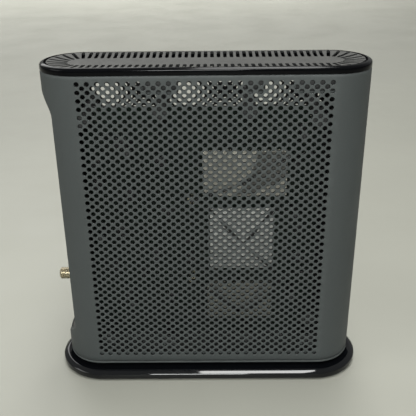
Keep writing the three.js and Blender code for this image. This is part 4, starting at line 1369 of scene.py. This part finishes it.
def make_board_parts(materials):
    """Small chips and can capacitors on the side of the board that looks through the near vents."""
    draw = random.Random(11)
    face = BOARD_LOW.y - 0.05 * MM
    chips, cans = bmesh.new(), bmesh.new()
    for x, z in CHIP_PLACES:
        add_chip(chips, draw, x * MM, z * MM, face)
    for x, z in CAPACITOR_PLACES:
        radius, tall = draw.choice(CAPACITOR_SIZES) if z > TALL_CAPACITORS_FROM else LOW_CAPACITOR
        add_capacitor(cans, (x * MM, face, z * MM), radius * MM, tall * MM)
    finish_piece("board_small_chips", chips, materials["chip"])
    finish_piece("board_capacitors", cans, materials["cable"])


# The finish of a frame piece that keeps its own shape, by the first word that its name holds.
FINISH_BY_WORD = [
    ("board_screw", "steel"), ("plinth_screw", "steel"), ("_jack_", "jack"), ("power_inlet", "jack"),
    ("button", "button"), ("switch", "chip"), ("board", "board"), ("can", "shield"), ("chip", "chip"),
    ("lead", "cable"), ("socket", "nickel"), ("heatsink", "heatsink"), ("lens", "lens"),
    ("panel", "panel"), ("screw", "steel"),
]


def dress_frame(materials):
    """Gives every frame piece its finish."""
    for node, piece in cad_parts.items():
        finish = next((f for word, f in FINISH_BY_WORD if word in node), "panel")
        piece.data.materials.clear()
        piece.data.materials.append(materials[finish])


FLOOR_FLAT = 3.2  # radius of the flat stretch
FLOOR_BEND = 0.8  # radius that the edge turns up by
FLOOR_RISE = 80  # degrees
FLOOR_STEPS = 8
FLOOR_SIDES = 64


def make_floor():
    """A wide pale table top whose edge turns up far from the object."""
    profile = [(0.5, 0), (1.6, 0), (FLOOR_FLAT, 0)]
    for i in range(1, FLOOR_STEPS + 1):
        angle = math.radians(FLOOR_RISE * i / FLOOR_STEPS)
        profile.append((FLOOR_FLAT + FLOOR_BEND * math.sin(angle), FLOOR_BEND * (1 - math.cos(angle))))
    angles = [2 * math.pi * i / FLOOR_SIDES for i in range(FLOOR_SIDES)]
    mesh = bmesh.new()
    made = []
    for radius, height in profile:
        ring = [(radius * math.cos(a), radius * math.sin(a), height) for a in angles]
        made.append([mesh.verts.new(p) for p in ring])
    for low, high in zip(made, made[1:]):
        join_ring(mesh, low, high)
    mesh.faces.new(made[0])
    bmesh.ops.recalc_face_normals(mesh, faces=mesh.faces)
    data = bpy.data.meshes.new("floor")
    mesh.to_mesh(data)
    mesh.free()
    data.polygons.foreach_set("use_smooth", [True] * len(data.polygons))
    data.materials.append(pale_floor())
    floor = bpy.data.objects.new("floor", data)
    bpy.context.scene.collection.objects.link(floor)


def main():
    place_camera()
    light_studio()
    materials = build_materials()
    make_floor()
    dress_frame(materials)
    make_side_shell("near_side_shell", -1, materials)
    make_side_shell("far_side_shell", 1, materials)
    make_rim(materials["rim"])
    make_grille(materials)
    make_cover(materials["casing"])
    make_panel_foot(materials["panel"])
    make_plinth(materials["plinth"])
    make_feet(materials["foot"])
    make_coax(materials)
    make_jack_contacts(materials["gold"])
    make_pair_button(materials["button"])
    make_shield("upper_can", "upper_shield_can", materials["shield"])
    make_shield("lower_can", "lower_shield_can", materials["darker_shield"])
    for name, can, edges in SHADE_TAPES:
        make_shade_tape(name, can, edges, materials["shade_tape"])
    make_spreader(materials["spreader"])
    make_spring(materials["chip"])
    make_board_parts(materials)


main()
bpy.context.view_layer.update()
